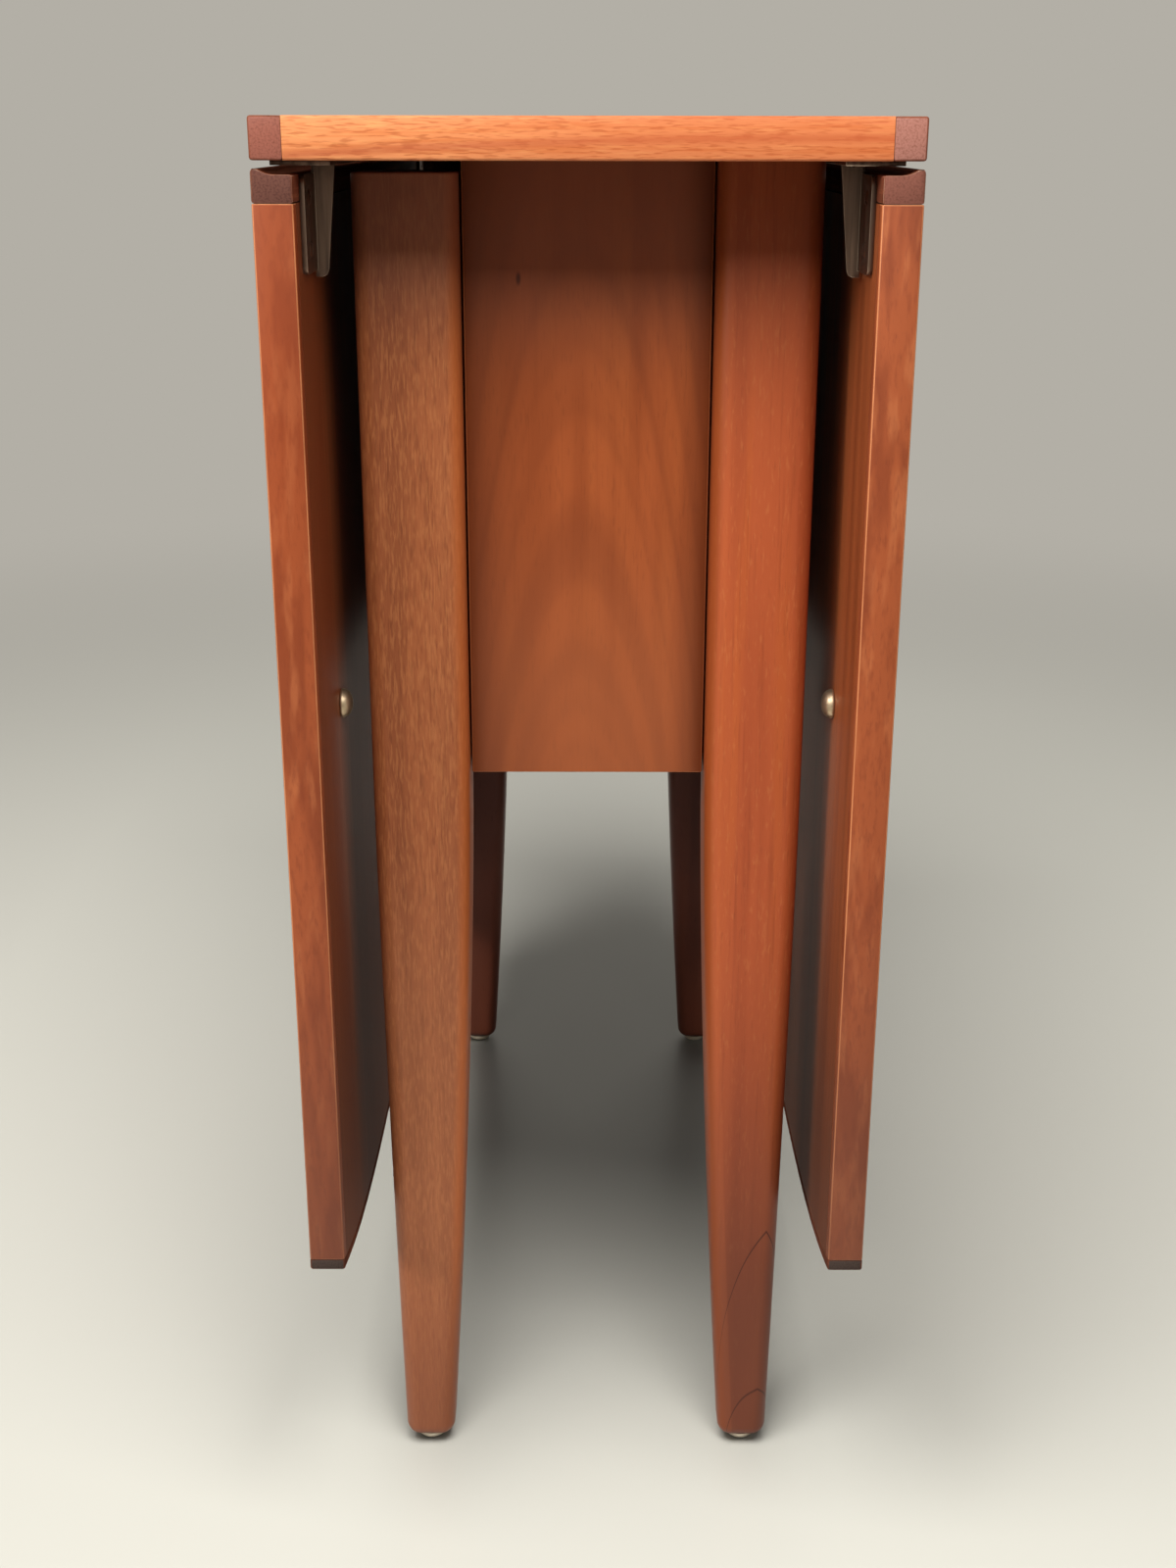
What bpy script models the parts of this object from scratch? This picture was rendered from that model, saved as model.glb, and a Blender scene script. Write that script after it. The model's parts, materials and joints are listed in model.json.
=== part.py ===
"""A drop-leaf dining table, closed: a narrow top on a panelled pedestal, two hanging leaves, two gate legs.

Metres, +Z up. The origin is on the floor under the middle of the top. The table's length runs along Y,
with the near end at -Y, and the leaves hang at -X (left) and +X (right). The table is unchanged by half
a turn about Z: one leg of each pair is fixed to the pedestal, and the other belongs to a gate.
"""

from math import atan2, cos, hypot, pi, sin, sqrt

import bmesh
import bpy
from mathutils import Vector

# Top
TABLE_HEIGHT = 0.735
TOP_LENGTH = 0.686
TOP_WIDTH = 0.286
TOP_THICKNESS = 0.018
TOP_SIDE_LIPPING = 0.014
TOP_END_LIPPING = 0.014
ARRIS = 0.0012
ARRIS_SEGMENTS = 2

# Leaves
LEAF_WIDTH = 0.542
LEAF_THICKNESS = 0.018
LEAF_BOW = 0.0285
LEAF_BOW_POWER = 3.8
LEAF_BOW_STEPS = 28
LEAF_HINGE_LIPPING = 0.0138
LEAF_OUTER_LIPPING = 0.006
LEAF_END_LIPPING = 0.008
LEAF_HANGING_GAP = 0.0035
LEAF_RAISED_GAP = 0.0005
COVE_CLEARANCE = 0.0004
COVE_STEPS = 6

# Leaf hinges
HINGE_FROM_END = 0.051
PLATE_THICKNESS = 0.002
PLATE_TAIL = 0.110
PLATE_BRIDGE = 0.0016
PLATE_LEG_CLEARANCE = 0.001
PLATE_REACH = 0.0045
EAR_THICKNESS = 0.002
EAR_WIDTH = 0.009
FLANGE_THICKNESS = 0.0022
FLANGE_LENGTH = 0.068
FLANGE_HEIGHT = 0.042
FLANGE_CORNER = 0.004
FLANGE_CORNER_SEGMENTS = 3
WEB_THICKNESS = 0.003
WEB_HEAD = 0.0118
WEB_FOOT = 0.0073
WEB_HEIGHT = 0.051
WEB_CORNER = 0.003
ARM_RADIUS = 0.0042
ARM_STEPS = 8
HINGE_PIN_DIAMETER = 0.004
HINGE_CLEARANCE = 0.0006
SCREW_HOLE_DIAMETER = 0.0042
SCREW_FROM_PLATE_END = 0.013
SCREW_FROM_PLATE_EDGE = 0.007
SCREW_FROM_FLANGE_EDGE = 0.010
SCREW_HOLE_STEPS = 16

# Pedestal
PEDESTAL_DROP = 0.302
SIDE_PANEL_THICKNESS = 0.009
END_PANEL_THICKNESS = 0.012
END_PANEL_SETBACK = 0.016
CLEAT_SIZE = 0.018
CLEAT_END_CLEARANCE = 0.02

# Legs
LEG_SIZE = 0.048
LEG_CORNER = 0.008
LEG_CORNER_STEPS = 4
LEG_END_OVERHANG = 0.070
LEG_TO_PANEL = 0.0025
LEG_INNER_TAPER = 0.0150
LEG_OUTER_TAPER = 0.0050
LEG_TAPER_POWER = 1.5
LEG_TAPER_STEPS = 9
FOOT_CHAMFER = 0.004
LEG_TOP_CHAMFER = 0.0015
GATE_LEG_DROP = 0.006
GLIDE_DIAMETER = 0.018
GLIDE_HEIGHT = 0.005
GLIDE_FLAT_DIAMETER = 0.008
PACKING_SETBACK = 0.008

# Gates
GATE_RAIL_THICKNESS = 0.020
GATE_RAIL_HEIGHT = 0.045
GATE_RAIL_SETBACK = 0.008
GATE_STILE_SIZE = 0.034
GATE_STILE_FROM_MIDDLE = 0.157
GATE_PIN_DIAMETER = 0.012
GATE_PIN_CLEARANCE = 0.0006
UPPER_BEARER_THICKNESS = 0.014
LOWER_BEARER_THICKNESS = 0.018
BEARER_LENGTH = 0.042

# Bumper studs
STUD_DIAMETER = 0.015
STUD_HEIGHT = 0.006
STUD_RIM = 0.0012
STUD_BELOW_TOP = 0.2805
STUD_FROM_END = 0.079
DOME_STEPS = 5
ROUND_STEPS = 24

# The gap of a glued or screwed face, and the play of one piece in another
SEAT_GAP = 0.0002
CUTTER_SPARE = 0.004

# Settings of the meshes and the joint markers
SAME_PLACE = 0.000001
SHARP_ANGLE = pi / 5
AXIS_MARKER_SIZE = 0.03

# Worked out from the sizes above
HALF_LENGTH = TOP_LENGTH / 2
HALF_WIDTH = TOP_WIDTH / 2
UNDERSIDE = TABLE_HEIGHT - TOP_THICKNESS
# A leaf hangs flush under the top's side and rises flush with its surface only about this point.
PIVOT_INSET = (TOP_THICKNESS + LEAF_HANGING_GAP - LEAF_RAISED_GAP) / 2
PIVOT_X = HALF_WIDTH - PIVOT_INSET
PIVOT_Z = TABLE_HEIGHT - PIVOT_INSET
LEAF_LIP_Z = UNDERSIDE - LEAF_HANGING_GAP
# The cove in the hinge edge turns round the top's lower corner.
COVE_RADIUS = hypot(PIVOT_INSET, PIVOT_Z - UNDERSIDE) + COVE_CLEARANCE
COVE_Z = PIVOT_Z - COVE_RADIUS
LEAF_INNER_X = HALF_WIDTH - LEAF_THICKNESS
LEAF_CORNER_Z = LEAF_LIP_Z - LEAF_WIDTH
HINGE_LIPPING_Z = LEAF_LIP_Z - LEAF_HINGE_LIPPING
HINGE_Y = HALF_LENGTH - HINGE_FROM_END
WEB_SHOULDER_X = LEAF_INNER_X - WEB_HEAD
SLOT_HALF = WEB_THICKNESS / 2 + HINGE_CLEARANCE
EAR_OUTER = SLOT_HALF + EAR_THICKNESS
SLOT_INNER_X = WEB_SHOULDER_X - HINGE_CLEARANCE
# The hinge plates fill the room between leaf and leg, and the pedestal fills what the legs leave.
PLATE_INNER_X = SLOT_INNER_X - PLATE_BRIDGE
LEG_OUTER_X = PLATE_INNER_X - PLATE_LEG_CLEARANCE
LEG_X = LEG_OUTER_X - LEG_SIZE / 2
LEG_INNER_X = LEG_OUTER_X - LEG_SIZE
PEDESTAL_X = LEG_INNER_X - LEG_TO_PANEL
PEDESTAL_Z = UNDERSIDE - PEDESTAL_DROP
LEG_OUTER_Y = HALF_LENGTH - LEG_END_OVERHANG
LEG_Y = LEG_OUTER_Y - LEG_SIZE / 2
LEG_INNER_Y = LEG_OUTER_Y - LEG_SIZE
END_PANEL_Y = LEG_OUTER_Y - END_PANEL_SETBACK
STUD_Y = HALF_LENGTH - STUD_FROM_END
STUD_Z = TABLE_HEIGHT - STUD_BELOW_TOP

LEFT, RIGHT = -1, 1
NEAR, FAR = -1, 1
SIDES = {"left": LEFT, "right": RIGHT}
ENDS = {"near": NEAR, "far": FAR}


def clear_scene():
    for old in list(bpy.data.objects):
        bpy.data.objects.remove(old)


def finish(name, colour, roughness, metallic=0.0):
    """A plain material of one colour, given in linear RGB."""
    material = bpy.data.materials.new(name)
    material.use_nodes = True
    shader = material.node_tree.nodes["Principled BSDF"]
    shader.inputs["Base Color"].default_value = (*colour, 1.0)
    shader.inputs["Roughness"].default_value = roughness
    shader.inputs["Metallic"].default_value = metallic
    material.diffuse_color = (*colour, 1.0)
    return material


def axis_empty(name, place):
    """An empty on a joint's axis, which the pieces that turn about it hang from."""
    empty = bpy.data.objects.new(name, None)
    empty.location = place
    empty.empty_display_size = AXIS_MARKER_SIZE
    bpy.context.scene.collection.objects.link(empty)
    return empty


def piece(name, shape, material, carrier=None, smooth=False):
    """Makes one object from a bmesh in world places, hung from its carrier's origin."""
    origin = carrier.location.copy() if carrier else Vector()
    bmesh.ops.recalc_face_normals(shape, faces=shape.faces)
    if shape.calc_volume(signed=True) < 0:
        bmesh.ops.reverse_faces(shape, faces=shape.faces)
    bmesh.ops.translate(shape, verts=shape.verts, vec=-origin)
    mesh = bpy.data.meshes.new(name)
    shape.to_mesh(mesh)
    shape.free()
    if smooth:
        mesh.shade_smooth()
        mesh.set_sharp_from_angle(angle=SHARP_ANGLE)
    mesh.materials.append(material)
    made = bpy.data.objects.new(name, mesh)
    made.parent = carrier
    bpy.context.scene.collection.objects.link(made)
    return made


def helper(name, shape, carrier=None):
    """A hidden solid that a Boolean uses."""
    made = piece(name, shape, MATERIALS["helper"], carrier)
    made.hide_render = True
    made.display_type = "WIRE"
    return made


def combine(target, other, operation):
    boolean = target.modifiers.new(f"{operation.lower()} {other.name}", "BOOLEAN")
    boolean.operation = operation
    boolean.object = other


def block(x_range, y_range, z_range):
    """A box between the given limits, each pair in either order."""
    limits = [sorted(pair) for pair in (x_range, y_range, z_range)]
    shape = bmesh.new()
    bmesh.ops.create_cube(shape, size=1.0)
    for vertex in shape.verts:
        for axis, (low, high) in enumerate(limits):
            vertex.co[axis] = high if vertex.co[axis] > 0 else low
    return shape


def prism(outline, start, end, place):
    """An outline of two coordinates pushed from start to end along the third, placed by place(a, b, c)."""
    shape = bmesh.new()
    base = shape.faces.new([shape.verts.new(place(a, b, start)) for a, b in outline])
    pushed = bmesh.ops.extrude_face_region(shape, geom=[base])
    move = place(*outline[0], end) - place(*outline[0], start)
    moved = [part for part in pushed["geom"] if isinstance(part, bmesh.types.BMVert)]
    bmesh.ops.translate(shape, verts=moved, vec=move)
    return shape


def turned(profile, place, axis, steps=ROUND_STEPS):
    """A profile of (radius, height) pairs, from the axis out and back, turned about a line through place."""
    shape = bmesh.new()
    across = axis.orthogonal().normalized()
    verts = [shape.verts.new(place + across * radius + axis * height) for radius, height in profile]
    edges = [shape.edges.new(pair) for pair in zip(verts, verts[1:])]
    bmesh.ops.spin(
        shape, geom=verts + edges, cent=place, axis=axis, angle=2 * pi, steps=steps, use_merge=True
    )
    bmesh.ops.remove_doubles(shape, verts=shape.verts, dist=SAME_PLACE)
    return shape


def rod(place, axis, diameter, start, end, steps=ROUND_STEPS):
    radius = diameter / 2
    return turned([(0, start), (radius, start), (radius, end), (0, end)], place, axis, steps)


def ease_arrises(shape, faces_of_slab):
    """Rounds the edges that lie on two outer faces of the whole slab, so that glued joints stay flush."""

    def count(edge):
        return sum(all(abs(face(v.co)) < SAME_PLACE for v in edge.verts) for face in faces_of_slab)

    bmesh.ops.bevel(
        shape,
        geom=[edge for edge in shape.edges if count(edge) >= 2],
        offset=ARRIS,
        offset_type="OFFSET",
        affect="EDGES",
        segments=ARRIS_SEGMENTS,
        profile=0.5,
        material=-1,
    )
    return shape


def top_faces():
    return [
        lambda p: abs(p.x) - HALF_WIDTH,
        lambda p: abs(p.y) - HALF_LENGTH,
        lambda p: p.z - TABLE_HEIGHT,
        lambda p: p.z - UNDERSIDE,
    ]


def make_top():
    joint = HALF_WIDTH - TOP_SIDE_LIPPING
    end_joint = HALF_LENGTH - TOP_END_LIPPING
    height = (UNDERSIDE, TABLE_HEIGHT)
    inside = joint - SEAT_GAP
    core = piece(
        "top_core",
        block((-inside, inside), (-end_joint + SEAT_GAP, end_joint - SEAT_GAP), height),
        MATERIALS["veneer"],
    )
    for end, toward in ENDS.items():
        shape = block((-inside, inside), (toward * end_joint, toward * HALF_LENGTH), height)
        piece(f"top_end_lipping_{end}", ease_arrises(shape, top_faces()), MATERIALS["top_lipping"])
    for side, toward in SIDES.items():
        shape = block((toward * joint, toward * HALF_WIDTH), (-HALF_LENGTH, HALF_LENGTH), height)
        lipping = piece(
            f"top_side_lipping_{side}", ease_arrises(shape, top_faces()), MATERIALS["lipping"]
        )
        for end, along in ENDS.items():
            pocket = helper(f"hinge_pocket_{end}_{side}", hinge_pocket(toward, along))
            combine(core, pocket, "DIFFERENCE")
            combine(lipping, pocket, "DIFFERENCE")


def hinge_pocket(side, end):
    """The pocket in the underside that takes the ears, the pin and the bracket's arm."""
    half = EAR_OUTER + HINGE_CLEARANCE
    return block(
        (side * (SLOT_INNER_X - HINGE_CLEARANCE), side * (PIVOT_X + EAR_WIDTH / 2 + HINGE_CLEARANCE)),
        (end * HINGE_Y - half, end * HINGE_Y + half),
        (UNDERSIDE - CUTTER_SPARE, PIVOT_Z + EAR_WIDTH / 2 + HINGE_CLEARANCE),
    )


def bow(y):
    """How much lower the leaf's outer edge is at y than at its corners."""
    return LEAF_BOW * (1 - abs(y / HALF_LENGTH) ** LEAF_BOW_POWER)


def leaf_faces(side):
    return [
        lambda p: p.x - side * HALF_WIDTH,
        lambda p: p.x - side * LEAF_INNER_X,
        lambda p: abs(p.y) - HALF_LENGTH,
        lambda p: p.z - (LEAF_CORNER_Z - bow(p.y)),
    ]


def bow_points(y_from, y_to, lift):
    """Points along the bowed edge, lifted by lift, with steps that are finer near the ends."""
    points = []
    for step in range(LEAF_BOW_STEPS + 1):
        y = y_from + (y_to - y_from) * (1 - cos(pi * step / LEAF_BOW_STEPS)) / 2
        points.append((y, LEAF_CORNER_Z - bow(y) + lift))
    return points


def hinge_edge_profile(side):
    """The hinge-edge lipping's section: a lip under the top's side, then the cove, then a flat."""
    lip_reach = sqrt(COVE_RADIUS**2 - (PIVOT_Z - LEAF_LIP_Z) ** 2)
    first = atan2(LEAF_LIP_Z - PIVOT_Z, lip_reach)
    last = -pi / 2
    points = [
        (LEAF_INNER_X, HINGE_LIPPING_Z),
        (HALF_WIDTH, HINGE_LIPPING_Z),
        (HALF_WIDTH, LEAF_LIP_Z - ARRIS / 2),
        (HALF_WIDTH - ARRIS / 2, LEAF_LIP_Z),
    ]
    for step in range(COVE_STEPS + 1):
        angle = first + (last - first) * step / COVE_STEPS
        points.append((PIVOT_X + COVE_RADIUS * cos(angle), PIVOT_Z + COVE_RADIUS * sin(angle)))
    points.append((LEAF_INNER_X, COVE_Z))
    return [(side * x, z) for x, z in points]


def make_leaf(side_name, side):
    carrier = axis_empty(f"leaf_{side_name}_axis", (side * PIVOT_X, 0, PIVOT_Z))
    outer, inner = side * HALF_WIDTH, side * LEAF_INNER_X
    end_joint = HALF_LENGTH - LEAF_END_LIPPING
    board_top = HINGE_LIPPING_Z - SEAT_GAP
    lift = LEAF_OUTER_LIPPING + SEAT_GAP

    def across(y, z, x):
        return Vector((x, y, z))

    def along(x, z, y):
        return Vector((x, y, z))

    shape = prism(hinge_edge_profile(side), -HALF_LENGTH, HALF_LENGTH, along)
    shape = ease_arrises(shape, leaf_faces(side))
    piece(f"leaf_hinge_lipping_{side_name}", shape, MATERIALS["lipping"], carrier)

    lower = bow_points(-HALF_LENGTH, HALF_LENGTH, 0)
    upper = bow_points(HALF_LENGTH, -HALF_LENGTH, LEAF_OUTER_LIPPING)
    shape = ease_arrises(prism(lower + upper, inner, outer, across), leaf_faces(side))
    piece(f"leaf_outer_lipping_{side_name}", shape, MATERIALS["lipping"], carrier)

    core_end = end_joint - SEAT_GAP
    outline = bow_points(-core_end, core_end, lift) + [(core_end, board_top), (-core_end, board_top)]
    piece(f"leaf_core_{side_name}", prism(outline, inner, outer, across), MATERIALS["veneer"], carrier)

    for end, toward in ENDS.items():
        ends = (toward * end_joint, toward * HALF_LENGTH)
        corner = [(y, LEAF_CORNER_Z - bow(y) + lift) for y in ends]
        outline = corner + [(ends[1], board_top), (ends[0], board_top)]
        shape = ease_arrises(prism(outline, inner, outer, across), leaf_faces(side))
        piece(f"leaf_end_lipping_{end}_{side_name}", shape, MATERIALS["leaf_lipping"], carrier)
        make_hinge(f"{end}_{side_name}", side, toward, carrier)
        stud_seat = Vector((inner - side * SEAT_GAP, toward * STUD_Y, STUD_Z))
        stud = turned(dome(STUD_DIAMETER / 2, STUD_HEIGHT, STUD_RIM), stud_seat, Vector((-side, 0, 0)))
        piece(f"bumper_stud_{end}_{side_name}", stud, MATERIALS["brass"], carrier, smooth=True)


def dome(radius, height, rim):
    """A domed stud's profile: a flat seat, a short rim and a rounded head."""
    points = [(0, 0), (radius, 0), (radius, rim)]
    for step in range(1, DOME_STEPS + 1):
        angle = pi / 2 * step / DOME_STEPS
        points.append((radius * cos(angle) if step < DOME_STEPS else 0, rim + (height - rim) * sin(angle)))
    return points


def make_hinge(name, side, end, leaf_carrier):
    """A plate with two ears under the top, a pin, and a bracket whose arm reaches up to the pin."""
    y = end * HINGE_Y
    axis = Vector((0, 1, 0))
    pin_seat = Vector((side * PIVOT_X, y, PIVOT_Z))
    bore_diameter = HINGE_PIN_DIAMETER + HINGE_CLEARANCE
    plate_top = UNDERSIDE - SEAT_GAP
    plate_low = plate_top - PLATE_THICKNESS

    def flat(x, inward, z):
        return Vector((side * x, y - end * inward, z))

    plate_outer = PIVOT_X + PLATE_REACH
    half = FLANGE_LENGTH / 2
    outline = [
        (PLATE_INNER_X, -half),
        (plate_outer, -half),
        (plate_outer, -SLOT_HALF),
        (SLOT_INNER_X, -SLOT_HALF),
        (SLOT_INNER_X, SLOT_HALF),
        (plate_outer, SLOT_HALF),
        (plate_outer, PLATE_TAIL),
        (PLATE_INNER_X, PLATE_TAIL),
    ]
    plate = piece(f"hinge_plate_{name}", prism(outline, plate_low, plate_top, flat), MATERIALS["bronze"])
    for number, hand in enumerate((-1, 1), start=1):
        ear = block(
            (side * (PIVOT_X - EAR_WIDTH / 2), side * (PIVOT_X + EAR_WIDTH / 2)),
            (y + hand * SLOT_HALF, y + hand * EAR_OUTER),
            (plate_low + PLATE_THICKNESS / 2, PIVOT_Z + EAR_WIDTH / 2),
        )
        combine(plate, helper(f"hinge_ear_{number}_{name}", ear), "UNION")
    bore = helper(
        f"hinge_plate_bore_{name}",
        rod(pin_seat, axis, bore_diameter, -EAR_OUTER - CUTTER_SPARE, EAR_OUTER + CUTTER_SPARE),
    )
    combine(plate, bore, "DIFFERENCE")
    plate_rows = (SCREW_FROM_PLATE_END - half, PLATE_TAIL - SCREW_FROM_PLATE_END)
    places = [flat(PLATE_INNER_X + SCREW_FROM_PLATE_EDGE, row, plate_low) for row in plate_rows]
    drill(plate, f"hinge_plate_screw_hole_{name}", places, Vector((0, 0, 1)), PLATE_THICKNESS)
    piece(
        f"hinge_pin_{name}",
        rod(pin_seat, axis, HINGE_PIN_DIAMETER, -EAR_OUTER, EAR_OUTER),
        MATERIALS["bronze"],
        smooth=True,
    )

    flange_top = COVE_Z - SEAT_GAP
    flange_low = flange_top - FLANGE_HEIGHT
    flange_face = LEAF_INNER_X - SEAT_GAP
    flange = block(
        (side * (flange_face - FLANGE_THICKNESS), side * flange_face),
        (y - half, y + half),
        (flange_low, flange_top),
    )
    round_corners(flange, lambda edge: edge_runs(edge, 0), FLANGE_CORNER, FLANGE_CORNER_SEGMENTS)
    bracket = piece(f"leaf_bracket_{name}", flange, MATERIALS["bronze"], leaf_carrier)
    web = helper(f"leaf_bracket_web_{name}", bracket_web(side, y), leaf_carrier)
    combine(bracket, web, "UNION")
    arm_bore = helper(
        f"leaf_bracket_bore_{name}",
        rod(pin_seat, axis, bore_diameter, -SLOT_HALF - CUTTER_SPARE, SLOT_HALF + CUTTER_SPARE),
        leaf_carrier,
    )
    combine(bracket, arm_bore, "DIFFERENCE")
    levels = (flange_top - SCREW_FROM_FLANGE_EDGE, flange_low + SCREW_FROM_FLANGE_EDGE)
    front = side * (flange_face - FLANGE_THICKNESS)
    flange_rows = [y + hand * (half - SCREW_FROM_PLATE_END) for hand in (-1, 1)]
    places = [Vector((front, row, level)) for row in flange_rows for level in levels]
    outward = Vector((side, 0, 0))
    drill(bracket, f"leaf_bracket_screw_hole_{name}", places, outward, FLANGE_THICKNESS, leaf_carrier)


def drill(target, name, places, axis, depth, carrier=None):
    """Bores screw holes through a plate, each from its place on the plate's face along the axis."""
    for number, place in enumerate(places, start=1):
        hole = rod(
            place, axis, SCREW_HOLE_DIAMETER, -CUTTER_SPARE, depth + CUTTER_SPARE, SCREW_HOLE_STEPS
        )
        combine(target, helper(f"{name}_{number}", hole, carrier), "DIFFERENCE")


def bracket_web(side, y):
    """The bracket's web: a tapered plate off the leaf, with an arm that hooks up to the hinge pin."""
    web_back = LEAF_INNER_X - SEAT_GAP - FLANGE_THICKNESS / 2
    web_low = UNDERSIDE - WEB_HEIGHT
    foot_x = LEAF_INNER_X - WEB_FOOT
    outline = [
        (web_back, web_low),
        (foot_x + WEB_CORNER, web_low),
        (foot_x + WEB_CORNER * (1 - cos(pi / 4)), web_low + WEB_CORNER * (1 - sin(pi / 4))),
        (foot_x, web_low + WEB_CORNER),
        (WEB_SHOULDER_X, UNDERSIDE),
    ]
    # The arm's end is round about the pin, from its upper side over the tip to its lower side.
    rise = atan2(PIVOT_Z + ARM_RADIUS - UNDERSIDE, PIVOT_X - WEB_SHOULDER_X)
    for step in range(ARM_STEPS + 1):
        angle = pi / 2 + rise / 2 - (pi + rise / 2) * step / ARM_STEPS
        outline.append((PIVOT_X + ARM_RADIUS * cos(angle), PIVOT_Z + ARM_RADIUS * sin(angle)))
    outline.append((web_back, PIVOT_Z - ARM_RADIUS))
    half = WEB_THICKNESS / 2
    return prism(outline, y - half, y + half, lambda x, z, along: Vector((side * x, along, z)))


def edge_runs(edge, axis):
    """True where the edge is parallel to the given axis."""
    run = edge.verts[1].co - edge.verts[0].co
    return abs(abs(run.normalized()[axis]) - 1) < SAME_PLACE


def round_corners(shape, chosen, radius, segments):
    bmesh.ops.bevel(
        shape,
        geom=[edge for edge in shape.edges if chosen(edge)],
        offset=radius,
        offset_type="OFFSET",
        affect="EDGES",
        segments=segments,
        profile=0.5,
        material=-1,
    )


def make_pedestal():
    height = (PEDESTAL_Z, UNDERSIDE - SEAT_GAP)
    inside = PEDESTAL_X - SIDE_PANEL_THICKNESS
    end_panel_back = END_PANEL_Y - END_PANEL_THICKNESS
    side_end = end_panel_back - SEAT_GAP
    for side, toward in SIDES.items():
        shape = block((toward * inside, toward * PEDESTAL_X), (-side_end, side_end), height)
        piece(f"side_panel_{side}", shape, MATERIALS["panel"])
        cleat_end = end_panel_back - CLEAT_END_CLEARANCE
        face = inside - SEAT_GAP
        cleat = block(
            (toward * (face - CLEAT_SIZE), toward * face),
            (-cleat_end, cleat_end),
            (height[1] - CLEAT_SIZE, height[1]),
        )
        piece(f"top_cleat_{side}", cleat, MATERIALS["beech"])

    def is_outer_upright(edge):
        return edge_runs(edge, 2) and abs(edge.verts[0].co.y) > END_PANEL_Y - SAME_PLACE

    for end, toward in ENDS.items():
        depth = (toward * end_panel_back, toward * END_PANEL_Y)
        shape = block((-PEDESTAL_X, PEDESTAL_X), depth, height)
        round_corners(shape, is_outer_upright, ARRIS, ARRIS_SEGMENTS)
        piece(f"end_panel_{end}", shape, MATERIALS["panel"])


def leg_ring(shape, z, inner_taper, outer_taper, side, end, inset=0.0):
    """One level of a leg: a square with round corners, drawn in by its tapers and by inset."""
    low_x, high_x = LEG_INNER_X + inner_taper + inset, LEG_OUTER_X - outer_taper - inset
    low_y, high_y = LEG_INNER_Y + inner_taper + inset, LEG_OUTER_Y - outer_taper - inset
    share = (high_x - low_x) / LEG_SIZE
    radius = LEG_CORNER * share
    verts = []
    corners = ((high_x, high_y, 0), (low_x, high_y, 1), (low_x, low_y, 2), (high_x, low_y, 3))
    for x, y, quarter in corners:
        centre_x = x - radius if x == high_x else x + radius
        centre_y = y - radius if y == high_y else y + radius
        for step in range(LEG_CORNER_STEPS + 1):
            angle = pi / 2 * (quarter + step / LEG_CORNER_STEPS)
            place = (centre_x + radius * cos(angle), centre_y + radius * sin(angle))
            verts.append(shape.verts.new((side * place[0], end * place[1], z)))
    return [shape.edges.new((verts[i - 1], verts[i])) for i in range(len(verts))]


def leg_shape(side, end, top, top_chamfer):
    """A leg, straight beside the pedestal and drawn in below it, with an eased foot."""
    shape = bmesh.new()
    foot = GLIDE_HEIGHT + SEAT_GAP
    rings = [leg_ring(shape, foot, LEG_INNER_TAPER, LEG_OUTER_TAPER, side, end, FOOT_CHAMFER)]
    low = foot + FOOT_CHAMFER
    for step in range(LEG_TAPER_STEPS + 1):
        z = low + (PEDESTAL_Z - low) * step / LEG_TAPER_STEPS
        share = ((PEDESTAL_Z - z) / (PEDESTAL_Z - low)) ** LEG_TAPER_POWER
        rings.append(leg_ring(shape, z, LEG_INNER_TAPER * share, LEG_OUTER_TAPER * share, side, end))
    rings.append(leg_ring(shape, top - top_chamfer, 0, 0, side, end))
    rings.append(leg_ring(shape, top, 0, 0, side, end, top_chamfer))
    for lower, upper in zip(rings, rings[1:]):
        bmesh.ops.bridge_loops(shape, edges=lower + upper)
    for ring in (rings[0], rings[-1]):
        bmesh.ops.edgeloop_fill(shape, edges=ring)
    return shape


def make_foot_glide(name, side, end, carrier=None):
    shift = (LEG_INNER_TAPER - LEG_OUTER_TAPER) / 2
    seat = Vector((side * (LEG_X + shift), end * (LEG_Y + shift), GLIDE_HEIGHT))
    flat, radius = GLIDE_FLAT_DIAMETER / 2, GLIDE_DIAMETER / 2
    points = [(0, 0), (radius, 0)]
    for step in range(1, DOME_STEPS + 1):
        angle = pi / 2 * step / DOME_STEPS
        points.append((flat + (radius - flat) * cos(angle), GLIDE_HEIGHT * sin(angle)))
    points.append((0, GLIDE_HEIGHT))
    shape = turned(points, seat, Vector((0, 0, -1)))
    piece(f"foot_glide_{name}", shape, MATERIALS["brass"], carrier, smooth=True)


def make_fixed_leg(name, side, end):
    shape = leg_shape(side, end, UNDERSIDE - SEAT_GAP, LEG_TOP_CHAMFER)
    piece(f"leg_fixed_{name}", shape, MATERIALS["leg"], smooth=True)
    packing = block(
        (side * (PEDESTAL_X + SEAT_GAP), side * (LEG_INNER_X - SEAT_GAP)),
        (end * (LEG_INNER_Y + PACKING_SETBACK), end * (END_PANEL_Y - PACKING_SETBACK)),
        (PEDESTAL_Z + PACKING_SETBACK, UNDERSIDE - SEAT_GAP),
    )
    piece(f"leg_packing_{name}", packing, MATERIALS["beech"])
    make_foot_glide(name, side, end)


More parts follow.
